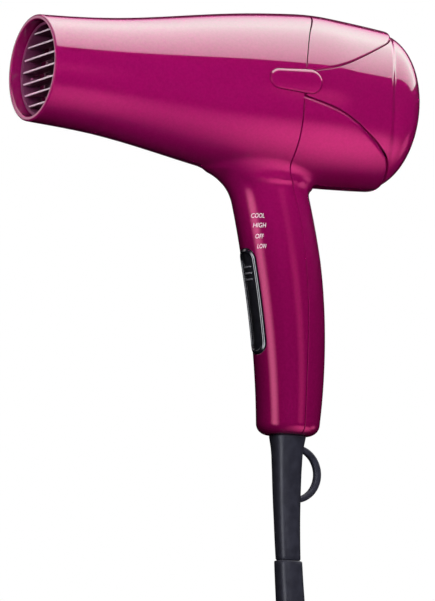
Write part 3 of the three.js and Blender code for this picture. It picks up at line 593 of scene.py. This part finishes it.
def off_screw_holes(p):
    nearest = np.min([np.hypot(p[:, 1], p[:, 2] - z) for z in SCREW_HOLES], axis=0)
    return np.where(p[:, 0] > handle_centre(p[:, 2]) + 5, nearest - 3.4, FAR)


# ------------------------------------------------------------------ housing shells
def make_shells():
    step = NET_STEP
    whole = surface_net(body_field, (-146, -46.4, -58), (54, 46.4, 156), step)
    whole = whole.clip(lambda p: p[:, 0] - RIM_X - RIM)
    whole = whole.clip(lambda p: SHELL_END_X - EDGE - p[:, 0])
    whole = whole.clip(lambda p: off_badge(p) - BADGE_GAP - EDGE)
    whole = whole.clip(lambda p: off_cord_hole(p) - EDGE)
    gap = SEAM_GAP / 2 + EDGE
    front = whole.clip(lambda p: -behind_seam(p) - gap)
    front = front.clip(lambda p: off_bezel(p) - SEAM_GAP - EDGE)
    rear = whole.clip(lambda p: behind_seam(p) - gap)
    rear = rear.clip(lambda p: -in_cap(p) - CAP_GAP / 2 - cap_edge(p))
    rear = rear.clip(lambda p: off_screw_holes(p) - EDGE)
    edge = np.where(np.abs(front.points[:, 0] - RIM_X - RIM) < 0.05, RIM, EDGE)
    off_cap = -in_cap(rear.points) - CAP_GAP / 2
    rear_edge = np.where(np.abs(off_cap - cap_edge(rear.points)) < 0.05, cap_edge(rear.points), EDGE)
    keep_painted("shell_front", mesh_from(*front.thick(WALL, edge)), "front_housing")
    keep_painted("shell_rear", mesh_from(*rear.thick(WALL, rear_edge)), "rear_housing")


def around_axis(segments):
    return np.linspace(0, 2 * np.pi, segments, endpoint=False)


def tube_skin(x, radius, segments=160):
    """A round tube's surface about the barrel's axis, with a ring at each x."""
    grid = np.repeat(x[:, None], segments, 1)
    return grid_skin(grid, np.full_like(grid, radius), around_axis(segments))


def grid_skin(x, radius, theta):
    """A surface about the barrel's axis, with x and radius given for each ring and angle."""
    points = np.stack([x, radius * np.cos(theta), AXIS_Z + radius * np.sin(theta)], -1)
    along = np.gradient(points, axis=0)
    around = np.roll(points, -1, 1) - np.roll(points, 1, 1)
    normals = unit(np.cross(around, along))
    rows, columns = x.shape
    index = np.arange(rows * columns).reshape(rows, columns)
    a, b = index[:-1], index[1:]
    c, d = np.roll(b, -1, 1), np.roll(a, -1, 1)
    triangles = [np.stack(corners, -1).reshape(-1, 3) for corners in ((a, d, c), (a, c, b))]
    return Skin(points.reshape(-1, 3), normals.reshape(-1, 3), np.concatenate(triangles))


def make_ledge():
    """The rear housing's floor under the cap's wings."""
    band = tube_skin(np.arange(CAP_START_X, LEDGE_END_X + 1, 1.2), LEDGE_R)
    band = band.clip(lambda p: in_cap(p) + 2)
    band = band.clip(lambda p: LEDGE_END_X - p[:, 0])
    band = band.clip(lambda p: p[:, 0] - CAP_START_X - 1.5)
    keep_painted("cap_seat_ledge", mesh_from(*band.thick(1.8, 0.2)))


def crease_x(z):
    return 32.5 + 0.0073 * (z - AXIS_Z) ** 2


def dome_radius(x):
    along = np.clip((x - DOME_BASE_X) / DOME_DEPTH, 0, 1)
    return DOME_BASE_R * (1 - along ** 3) ** (1 / 3)


def cap_radius(x, z):
    """The wings carry on the barrel's form, then step down in a soft crease to the dome."""
    t = np.clip((x - crease_x(z) + 1.5) / 3.0, 0, 1)
    share = t * t * (3 - 2 * t)
    return form_radius(x, z) * (1 - share) + dome_radius(x) * share


def off_slots(p):
    """Distance outside the intake slots, which fill a round field in rows of two."""
    best = np.full(len(p), FAR)
    for row in range(-3, 4):
        reach = math.sqrt(SLOT_FIELD_R ** 2 - (row * SLOT_PITCH) ** 2)
        start, end = 1.2 + SLOT_HALF, reach - SLOT_HALF
        across = np.abs(p[:, 1])
        outside = np.maximum(np.maximum(start - across, across - end), 0)
        best = np.minimum(best, np.hypot(outside, p[:, 2] - AXIS_Z - row * SLOT_PITCH) - SLOT_HALF)
    return np.where(p[:, 0] > 45, best, FAR)


def make_cap():
    end = DOME_BASE_X + DOME_DEPTH
    shoulder = np.concatenate([np.arange(CAP_START_X, WING_END_X, 1.0),
                               np.arange(WING_END_X, SHOULDER_X, 0.5)])
    # Beyond the shoulder the rows follow the radius instead, so the dome's flat end stays even.
    rings = np.linspace(dome_radius(SHOULDER_X), 0.4, 34)
    crown = DOME_BASE_X + DOME_DEPTH * (1 - (rings / DOME_BASE_R) ** 3) ** (1 / 3)
    segments = 176
    theta = around_axis(segments)
    grid_x = np.repeat(np.concatenate([shoulder, crown])[:, None], segments, 1)
    radius = np.full_like(grid_x, 40.0)
    for _ in range(6):  # the radius depends on the height, and the height on the radius
        radius = cap_radius(grid_x, AXIS_Z + radius * np.sin(theta))
    radius[len(shoulder):] = rings[:, None]
    skin = grid_skin(grid_x, radius, theta)
    last = np.arange((len(grid_x) - 1) * segments, len(grid_x) * segments)
    tip = np.full(segments, len(skin.points))
    closing = np.stack([last, np.roll(last, -1), tip], 1)
    skin = Skin(np.vstack([skin.points, [[end, 0, AXIS_Z]]]), np.vstack([skin.normals, [[1, 0, 0]]]),
                np.vstack([skin.triangles, closing]))
    skin = skin.clip(lambda p: in_cap(p) - CAP_GAP / 2 - EDGE)
    skin = skin.clip(lambda p: off_badge(p) - BADGE_GAP - EDGE)
    skin = skin.clip(lambda p: off_slots(p) - EDGE)
    keep_painted("cap_intake", mesh_from(*skin.thick(CAP_WALL, EDGE)), "intake_cap", body="cap")


# ------------------------------------------------------------------ pads that lie on the housing
def egg_outline(count=96):
    """Spine points and offsets from them for the badge's outline, seen from the side."""
    b = BADGE
    angle = around_axis(count)
    direction = np.stack([np.cos(angle), np.sin(angle)], 1)
    large = direction[:, 0] > 0
    centre = np.where(large, b["large_x"], b["small_x"])
    radius = np.where(large, b["large_r"], b["small_r"])
    return np.stack([centre, np.full(count, b["z"])], 1), direction * radius[:, None]


def rounded_outline(length, width, corner, per_corner=9):
    """Spine points and offsets for a rounded rectangle that is longer than it is wide."""
    spine, offset = [], []
    for quarter, (sx, sy) in enumerate(((1, 1), (-1, 1), (-1, -1), (1, -1))):
        for k in range(per_corner):
            angle = (quarter + k / (per_corner - 1)) * math.pi / 2
            x = sx * (width / 2 - corner) + corner * math.cos(angle)
            y = sy * (length / 2 - corner) + corner * math.sin(angle)
            base = sy * (length / 2 - width / 2)
            spine.append((0.0, base))
            offset.append((x, y - base))
    return densify(np.array(spine)), densify(np.array(offset))


def densify(points, steps=10):
    """Adds points along the two long sides, between the corner arcs."""
    corners = np.split(points, 4)
    t = np.linspace(0, 1, steps + 2)[1:-1, None]
    rows = []
    for k, corner in enumerate(corners):
        rows.append(corner)
        if k in (1, 3):
            rows.append(corner[-1] * (1 - t) + corners[(k + 1) % 4][0] * t)
    return np.vstack(rows)


def stack_rings(rings):
    """Joins rings of equal size into a closed surface; points in one place are merged."""
    return smooth(closed_mesh(rings, ring_faces(len(rings[0]), len(rings)), weld=True))


def make_badges():
    spine, offset = egg_outline()
    profile = [(0.0, -1.4), (1.0, -1.4), (1.0, -0.1), (0.985, 0.22), (0.955, 0.47), (0.91, 0.68),
               (0.85, 0.84), (0.78, 0.94), (0.66, 1.01), (0.45, 1.05), (0.2, 1.07), (0.0, 1.07)]
    for side, name in ((1, "left"), (-1, "right")):
        rings = []
        for share, height in profile:
            flat = spine + offset * share
            radius = barrel_radius(flat[:, 0]) + height
            y = side * np.sqrt(radius ** 2 - (flat[:, 1] - AXIS_Z) ** 2)
            rings.append(np.stack([flat[:, 0], y, flat[:, 1]], 1))
        keep_painted(f"badge_{name}", stack_rings(rings), f"side_badge_{name}")


def on_handle_front(flat, height):
    """Points on the handle's front from (across, along the switch), at a height above its surface."""
    across, along = flat[:, 0], flat[:, 1]
    z = SWITCH_Z + along * math.cos(SWITCH_TILT)
    front, _, side = handle_section(z)
    x = handle_centre(z) - front * np.sqrt(1 - (across / side) ** 2)
    p = np.stack([x, across, z], -1)
    return p + unit(gradient(handle_field, p)) * height


def make_switch():
    outer, inner = sum(rounded_outline(*BEZEL)), sum(rounded_outline(*WINDOW))
    profile = [(0.0, -1.6), (0.0, -0.05), (0.04, 0.08), (0.16, 0.14), (0.30, 0.22), (0.42, 0.38),
               (0.54, 0.48), (0.68, 0.50), (0.82, 0.42), (0.93, 0.24), (1.0, 0.0), (1.0, -1.2),
               (0.0, -1.6)]
    rings = [on_handle_front(outer * (1 - t) + inner * t, height) for t, height in profile]
    keep_object("bezel_switch", stack_rings(rings), bezel_gloss, "housing",
                ["switch_bezel"])

    spine, offset = rounded_outline(*SLIDER)
    profile = [(0.0, -2.2), (1.0, -2.2), (1.0, -1.1), (0.97, -0.95), (0.8, -0.62), (0.5, -0.48),
               (0.25, -0.45), (0.0, -0.44)]
    rings = [on_handle_front(spine + offset * share, height) for share, height in profile]
    keep_object("slider_strip", stack_rings(rings), switch_black, "switch",
                ["switch_slider"])

    spine, offset = rounded_outline(*RIB, 5)
    profile = [(0.0, -0.8), (1.0, -0.8), (1.0, -0.1), (0.86, 0.14), (0.5, 0.30), (0.0, 0.34)]
    for number, along in enumerate(SWITCH_RIBS):
        rings = []
        for share, height in profile:
            crosswise = (spine + offset * share)[:, ::-1]
            rings.append(on_handle_front(crosswise + (0, along), height))
        # Each rib wears the lighter grey, a painted highlight on the black slider.
        keep_object(f"slider_rib_{number}", stack_rings(rings), painted_rib_highlight, "switch")


# ------------------------------------------------------------------ strain relief, sleeve, ring
def lean_x(z):
    return 2.3 + 0.0007 * np.clip(RELIEF_TOP - z, 0, None) ** 2


def soft_square(angle, power):
    """How far a square with soft corners reaches beyond a circle."""
    return (np.abs(np.cos(angle)) ** power + np.abs(np.sin(angle)) ** power) ** (-1 / power)


def make_sleeve(name, outside, middle, node, segments=72):
    """A sleeve with a soft square section around the leaning cord; outside gives (z, radius).

    middle is a height about halfway down the round bore.
    """
    angle = around_axis(segments)
    square = soft_square(angle, 2.7)
    rings = []
    for z, radius in stations(outside, 2.0):
        reach = radius * square
        rings.append(np.stack([lean_x(z) + reach * np.cos(angle), reach * np.sin(angle) * 0.93,
                               np.full(segments, z)], 1))
    bore = [(z, CORD_BORE) for z in (outside[-1][0], middle, outside[0][0])]
    for z, radius in stations(bore, 4.0):
        rings.append(np.stack([lean_x(z) + radius * np.cos(angle), radius * np.sin(angle),
                               np.full(segments, z)], 1))
    mesh = closed_mesh(rings, ring_faces(segments, len(rings), closed=True))
    keep_object(name, smooth(mesh, 50), cord_rubber, "housing", [node])


def stations(knots, step):
    """(z, radius) knots, filled in so that the lean stays smooth."""
    rows = []
    for (z0, r0), (z1, r1) in zip(knots, knots[1:]):
        parts = max(1, round(abs(z1 - z0) / step))
        rows += [(z0 + (z1 - z0) * k / parts, r0 + (r1 - r0) * k / parts) for k in range(parts)]
    return rows + [knots[-1]]


def make_relief():
    relief = [(-48.8, 7.7), (-53.6, 7.7), (-53.9, 8.2), (-54.3, 8.35), (-56, 8.05), (-59.5, 7.45),
              (-63, 7.1), (-71.5, 6.7), (-94, 6.0), (-112.4, 5.65), (RELIEF_TIP, 5.35)]
    make_sleeve("relief_boot", relief, -80, "strain_relief")
    keep_object("relief_hang_ring", ring_mesh(), cord_rubber, "housing")
    sleeve = [(RELIEF_TIP - 0.3, 5.6), (-113.45, 6.1), (-113.9, 6.35), (-125, 6.45), (-141, 6.65),
              (-153.6, 6.6), (-154.7, 6.2), (SLEEVE_END, 5.4)]
    make_sleeve("sleeve_cord", sleeve, -135, "cord_sleeve")


def ring_mesh(steps=56, sides=20):
    """The hanging ring: a crescent whose band is flat-sided and thickens towards its middle."""
    centre, radius = np.array([6.7, 0, -71.5]), 12.5
    turn = around_axis(sides)
    square = soft_square(turn, 3.2)
    c, s = (np.cos(turn) * square)[:, None], (np.sin(turn) * square)[:, None]
    rows = []
    for k in range(steps + 1):
        angle = math.radians(-90 + 180 * k / steps)
        half_band = 1.5 + 0.3 * math.cos(angle) ** 2
        out = np.array([math.cos(angle), 0, math.sin(angle)])
        rows.append(centre + out * radius + c * half_band * out + s * 1.7 * np.array([0, 1, 0]))
    ends = [tuple(range(sides)), tuple(range(steps * sides, (steps + 1) * sides))]
    return smooth(closed_mesh(rows, ring_faces(sides, steps + 1) + ends), 60)


# ------------------------------------------------------------------ free cord
CORD_ENTRY = [(9.45, 0, SLEEVE_END), (10.1, 0, -160), (10.2, 0, -165), (9.6, 0, -170),
              (8.1, 0, -175), (5.8, 0, -180), (2.7, 0, -184.5), (-1.1, 0, -188.6), (-5.4, 0, -192)]
CORD_TAIL = [(PLUG_X, 0, z) for z in (-235, -240, -245, -250, -255, -260.4, -266, -272)]


def cord_route():
    """Down into the coil, three turns inside and three outside, then down to the plug."""
    per_turn = 18
    columns = [0, 1, 2, 3, 3, 2, 1, 0]  # the turns lie side by side, each one column on
    route = list(CORD_ENTRY)
    for k in range(6 * per_turn + per_turn // 6 + 1):
        turn, within = divmod(k, per_turn)
        angle = math.radians(120 + 360 * k / per_turn)
        share = min(within / (per_turn / 6), 1.0)
        ease = share * share * (3 - 2 * share)
        column = columns[turn] * (1 - ease) + columns[turn + 1] * ease
        radius = COIL_INNER_R if turn < 3 else COIL_OUTER_R
        y = column * COIL_PITCH
        if turn == 3 and within <= per_turn // 6:
            radius = COIL_INNER_R * (1 - ease) + COIL_OUTER_R * ease
            y += 4.2 * math.sin(math.pi * share)
        route.append((COIL_CENTRE[0] + radius * math.cos(angle), y,
                      COIL_CENTRE[1] + radius * math.sin(angle)))
    return route + CORD_TAIL


def make_cord():
    route = cord_route()
    data = bpy.data.curves.new("cord", "CURVE")
    data.dimensions = "3D"
    data.bevel_depth = CORD_D / 2 * MM
    data.bevel_resolution = 5
    data.resolution_u = 4
    data.use_fill_caps = True
    spline = data.splines.new("BEZIER")
    spline.bezier_points.add(len(route) - 1)
    for point, place in zip(spline.bezier_points, route):
        point.co = Vector(place) * MM
        point.handle_left_type = point.handle_right_type = "AUTO"
    cord = put_in_scene("cord_mains", data)
    data.materials.append(cord_rubber)
    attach(cord, "housing")
    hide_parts("power_cord", "power_cord_coil", "power_cord_tail")


# ------------------------------------------------------------------ outlet grille
def make_grille():
    """Fins across the nozzle, each with a rounded front edge, in a round frame."""
    depth, thickness = FIN
    work = bmesh.new()
    for row in range(-3, 4):
        z = AXIS_Z + 1.1 + row * FIN_PITCH
        half = math.sqrt((GRILLE_R - 1.1) ** 2 - (z - AXIS_Z) ** 2)
        made = bmesh.ops.create_cube(work, size=1.0)["verts"]
        bmesh.ops.scale(work, verts=made, vec=(depth, 2 * half, thickness))
        bmesh.ops.translate(work, verts=made, vec=(GRILLE_FRONT + 0.1 + depth / 2, 0, z))
    long_edges = [e for e in work.edges if abs((e.verts[0].co - e.verts[1].co).y) > 2]
    bmesh.ops.bevel(work, geom=long_edges, offset=0.3, segments=4, affect="EDGES")
    bmesh.ops.scale(work, verts=work.verts, vec=(MM, MM, MM))
    mesh = bpy.data.meshes.new("mesh")
    work.to_mesh(mesh)
    work.free()
    fins = keep_object("grille_fins", smooth(mesh, 40), fin_plastic, "housing",
                       ["outlet_grille"])
    # Faces turned towards the mouth take the pale paint, a painted highlight on the fins' front edges.
    fins.data.materials.append(painted_fin_highlight)
    for polygon in mesh.polygons:
        polygon.material_index = int(polygon.normal.x < -0.7)
    tube = tube_skin(np.arange(GRILLE_FRONT, GRILLE_FRONT + 9.1, 1.0), GRILLE_R, 96)
    keep_object("grille_frame", mesh_from(*tube.thick(1.5, 0.4, 0.4)), heat_plastic, "housing")


# ------------------------------------------------------------------ words beside the switch
WORDS = (("COOL", -25.7, -20.8, 47.9), ("HIGH", -24.5, -19.9, 43.4), ("OFF", -23.2, -20.3, 38.2),
         ("LOW", -22.0, -18.7, 33.5))  # word, X of its two ends and Z of its foot
WORD_HEIGHT = 2.1


def on_handle_side(x, z, height):
    """A point on the near side of the handle at x and z."""
    front, _, side = handle_section(z)
    y = -side * np.sqrt(1 - ((x - handle_centre(z)) / front) ** 2)
    p = np.stack([x, y, z], -1)
    return p + unit(gradient(handle_field, p)) * height


def make_words():
    for word, start, end, base in WORDS:
        data = bpy.data.curves.new("text", "FONT")
        data.body = word
        text = put_in_scene("text", data)
        shaped = text.evaluated_get(bpy.context.evaluated_depsgraph_get())
        mesh = bpy.data.meshes.new_from_object(shaped)
        bpy.data.objects.remove(text)
        work = bmesh.new()
        work.from_mesh(mesh)
        bmesh.ops.triangulate(work, faces=work.faces)
        bmesh.ops.subdivide_edges(work, edges=work.edges, cuts=1)
        flat = np.array([v.co for v in work.verts])
        low, high = flat.min(0), flat.max(0)
        x = start + (flat[:, 0] - low[0]) / (high[0] - low[0]) * (end - start)
        z = base + (flat[:, 1] - low[1]) / (high[1] - low[1]) * WORD_HEIGHT
        for vertex, place in zip(work.verts, on_handle_side(x, z, 0.05) * MM):
            vertex.co = place
        work.to_mesh(mesh)
        work.free()
        keep_object(f"word_{word.lower()}", mesh, white_print, "housing")


make_cord()
make_shells()
make_ledge()
make_cap()
make_badges()
make_switch()
make_relief()
make_grille()
make_words()


# ------------------------------------------------------------------ the CAD pieces that stay
def dress(material, *nodes):
    for name in nodes:
        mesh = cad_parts[name].data
        mesh.materials.clear()
        mesh.materials.append(material)
        smooth(mesh, 34)


dress(shell_paint, "front_housing", "rear_housing", "intake_cap", "side_badge_left", "side_badge_right")
dress(zinc_steel, "housing_screw_upper", "housing_screw_lower", "clamp_screw_left", "clamp_screw_right",
      "motor_can", "motor_shaft")
dress(switch_black, "fan_impeller", "switch_bezel", "switch_slider", "cord_tie")
dress(duct_plastic, "fan_duct", "lint_screen")
dress(plug_plastic, "plug_cover", "plug_base", "switch_body")
dress(cord_rubber, "plug_strain_relief", "wire_live", "cord_inside", "strain_relief", "cord_sleeve",
      "power_cord", "power_cord_coil", "power_cord_tail")
dress(heat_plastic, "outlet_grille")
dress(mica_sheet, "heater_liner", "heater_board_upright", "heater_board_level")
dress(heat_wire, "heating_coil_outer", "heating_coil_inner")
dress(brass, "thermostat", "plug_blade_live", "plug_blade_neutral")
dress(ceramic, "thermal_fuse", "switch_stem")
dress(white_plastic, "wire_neutral", "cord_clamp", "test_button")
dress(red_plastic, "reset_button")
dress(board_green, "rectifier_board", "plug_board")


# ------------------------------------------------------------------ studio
FLOOR_Z = -0.3445
WHITE = (1, 1, 1, 1)
PAINTED = ["shell_front", "shell_rear", "cap_intake", "badge_left", "badge_right"]
MOULDED = ["relief_boot", "relief_hang_ring", "sleeve_cord", "cord_mains", "bezel_switch",
           "slider_strip", "slider_rib_0", "slider_rib_1", "slider_rib_2"]


def aim(obj, target):
    direction = Vector(target) - obj.location
    obj.rotation_euler = direction.to_track_quat("-Z", "Y").to_euler()


def soft_light(name, place, target, size, power, spread=180):
    """A soft box that lights the paint without showing in its gloss; spread is its grid's angle."""
    data = bpy.data.lights.new(name, "AREA")
    data.shape = "RECTANGLE"
    data.size, data.size_y = size
    data.energy = power
    data.spread = math.radians(spread)
    light = put_in_scene(name, data)
    light.location = place
    aim(light, target)
    light.visible_camera = False
    light.visible_glossy = False


def glow_card(name, place, target, size, colour, strength, only=None, solid=0.1):
    """A lit card that fades towards its edges and shows in gloss only; solid is its even share.

    only names the pieces that it may light, where not every piece is meant to show it.
    """
    nodes = Nodes(name)
    scaled = nodes.add("ShaderNodeMapping", Scale=(2 / size[0], 2 / size[1], 1))
    nodes.link(nodes.coordinate, scaled, "Vector")
    fade = nodes.add("ShaderNodeTexGradient")
    fade.gradient_type = "SPHERICAL"
    nodes.link(scaled.outputs["Vector"], fade, "Vector")
    level = nodes.add("ShaderNodeMapRange", From_Max=1 - solid, To_Max=strength)
    level.interpolation_type = "SMOOTHSTEP"
    nodes.link(fade.outputs["Fac"], level, "Value")
    glow = nodes.add("ShaderNodeEmission", Color=(*colour, 1))
    nodes.link(level.outputs["Result"], glow, "Strength")
    card = hang_card(nodes, glow, name, place, target, size)
    if only:
        limit_card(card, only)


def limit_card(card, pieces, state="INCLUDE"):
    """Keeps a card to the named pieces, or keeps it off them."""
    listed = bpy.data.collections.new(card.name)
    for piece in pieces:
        listed.objects.link(bpy.data.objects[piece])
    card.light_linking.receiver_collection = listed
    for entry in listed.collection_objects:
        entry.light_linking.link_state = state


def tinted_card(name, place, target, size, near, middle, far):
    """A sharp-edged lit card whose colour runs from near, at its front edge, to far."""
    nodes = Nodes(name)
    scaled = nodes.add("ShaderNodeMapping", Scale=(1, 1 / size[1], 1),
                       Rotation=(0, 0, math.pi / 2), Location=(0.5, 0, 0))
    nodes.link(nodes.coordinate, scaled, "Vector")
    run = nodes.add("ShaderNodeTexGradient")
    nodes.link(scaled.outputs["Vector"], run, "Vector")
    glow = nodes.add("ShaderNodeEmission")
    nodes.link(nodes.ramp(run.outputs["Fac"], near, far, 0.0, 1.0), glow, "Color")
    nodes.tree.nodes["Color Ramp"].color_ramp.elements.new(0.4).color = (*middle, 1)
    return hang_card(nodes, glow, name, place, target, size)


def hang_card(nodes, glow, name, place, target, size):
    """Hangs up a card that glows and lets other cards shine through it."""
    clear = nodes.add("ShaderNodeBsdfTransparent")
    both = nodes.add("ShaderNodeAddShader")
    nodes.tree.links.new(glow.outputs["Emission"], both.inputs[0])
    nodes.tree.links.new(clear.outputs["BSDF"], both.inputs[1])
    nodes.tree.links.new(both.outputs["Shader"], nodes.tree.nodes["Material Output"].inputs["Surface"])
    card = flat_piece(name, size, nodes.material)
    card.location = place
    aim(card, target)
    card.visible_camera = False
    card.visible_diffuse = False
    card.visible_shadow = False
    return card


def flat_piece(name, size, material, z=0):
    """A rectangle of the studio, not of the object."""
    x, y = size[0] / 2, size[1] / 2
    mesh = bpy.data.meshes.new(name)
    mesh.from_pydata([(-x, -y, z), (x, -y, z), (x, y, z), (-x, y, z)], [], [(0, 1, 2, 3)])
    mesh.materials.append(material)
    flat = put_in_scene(name, mesh)
    return flat


def add_world():
    """A dim even light all round, which the camera sees as white and gloss doesn't show."""
    world = bpy.data.worlds.new("world")
    bpy.context.scene.world = world
    world.use_nodes = True
    world.cycles_visibility.glossy = False
    tree = world.node_tree
    lit = set_inputs(tree.nodes["Background"], Color=WHITE, Strength=0.15)
    seen = set_inputs(tree.nodes.new("ShaderNodeBackground"), Color=WHITE, Strength=1.0)
    rays = tree.nodes.new("ShaderNodeLightPath")
    mix = tree.nodes.new("ShaderNodeMixShader")
    tree.links.new(rays.outputs["Is Camera Ray"], mix.inputs["Fac"])
    tree.links.new(lit.outputs["Background"], mix.inputs[1])
    tree.links.new(seen.outputs["Background"], mix.inputs[2])
    tree.links.new(mix.outputs["Shader"], tree.nodes["World Output"].inputs["Surface"])


def add_floor():
    """A pale floor that glows by itself and takes little light, so that no lamp's edge shows on it."""
    nodes = Nodes("pale_floor")
    nodes.link(nodes.ramp(nodes.noise(3.0), (0.07, 0.07, 0.07), (0.09, 0.09, 0.09)),
               nodes.shader, "Base Color")
    set_inputs(nodes.shader, Roughness=0.9, Specular_IOR_Level=0.0, Emission_Color=WHITE,
               Emission_Strength=0.86)
    floor = flat_piece("floor", (24.0, 24.0), nodes.material, FLOOR_Z)
    floor.visible_glossy = False
    floor.visible_diffuse = False


def add_studio():
    """Places and sizes are in metres, and names say what each card or lamp is for."""
    add_world()
    add_floor()
    above, below_above = (1.0, -0.02, 1.108), (1.0, -0.02, 0.0)
    pink_top = tinted_card("overhead_card", above, below_above, (3.4, 2.24),
                           (1.6, 0.3, 0.9), (3.0, 4.1, 3.5), (1.9, 1.7, 1.7))
    limit_card(pink_top, PAINTED)
    plain_top = tinted_card("overhead_plain", (1.0, -0.02, 1.118), below_above, (3.4, 2.24),
                            (1.6, 1.6, 1.6), (1.8, 1.8, 1.8), (1.4, 1.4, 1.4))
    limit_card(plain_top, PAINTED, "EXCLUDE")

    glow_card("painted_strip", (-1.83, -0.75, -0.25), (0.0, 0.0, -0.02), (1.5, 3.0),
              (1.0, 0.26, 0.46), 2.4, PAINTED)
    glow_card("moulded_strip", (-1.86, -0.80, -0.25), (0.0, 0.0, -0.02), (1.5, 3.0),
              (0.93, 0.95, 1.0), 6.0, MOULDED)
    glow_card("low_card", (0.28, -0.25, -0.334), (0.28, -0.25, 1.0), (0.9, 0.9),
              (1.0, 0.12, 0.38), 2.0, PAINTED)
    glow_card("front_card", (0.74, -1.85, 0.06), (0.0, 0.0, 0.06), (1.0, 1.0),
              (1.0, 0.09, 0.30), 0.8, PAINTED)
    glow_card("rear_card", (0.80, -0.10, -0.30), (0.045, -0.03, 0.087), (0.62, 0.5),
              (1.0, 0.15, 0.40), 1.5, PAINTED)
    glow_card("mouth_card", (-0.32, 0.35, 0.20), (-0.135, 0.0, 0.108), (0.30, 0.30),
              (1.0, 0.92, 0.97), 1.0, solid=0.5)

    soft_light("barrel_key", (0.02, -0.42, 0.02), (0.02, 0.0, 0.098), (0.26, 0.08), 0.050, 24)
    soft_light("key", (-0.5, -1.6, 0.55), (-0.03, 0.0, 0.05), (1.2, 1.0), 31.0)
    soft_light("under_fill", (0.1, -0.9, -0.30), (0.0, 0.0, 0.10), (0.8, 0.4), 2.4)
    soft_light("back_fill", (0.9, 1.5, 0.9), (0.0, 0.0, 0.0), (1.2, 1.2), 45.0)
    soft_light("nozzle_fill", (-0.65, -0.32, 0.14), (-0.135, 0.0, 0.106), (0.05, 0.05), 0.03, 14)
    bpy.context.scene.view_settings.view_transform = "Standard"


add_studio()
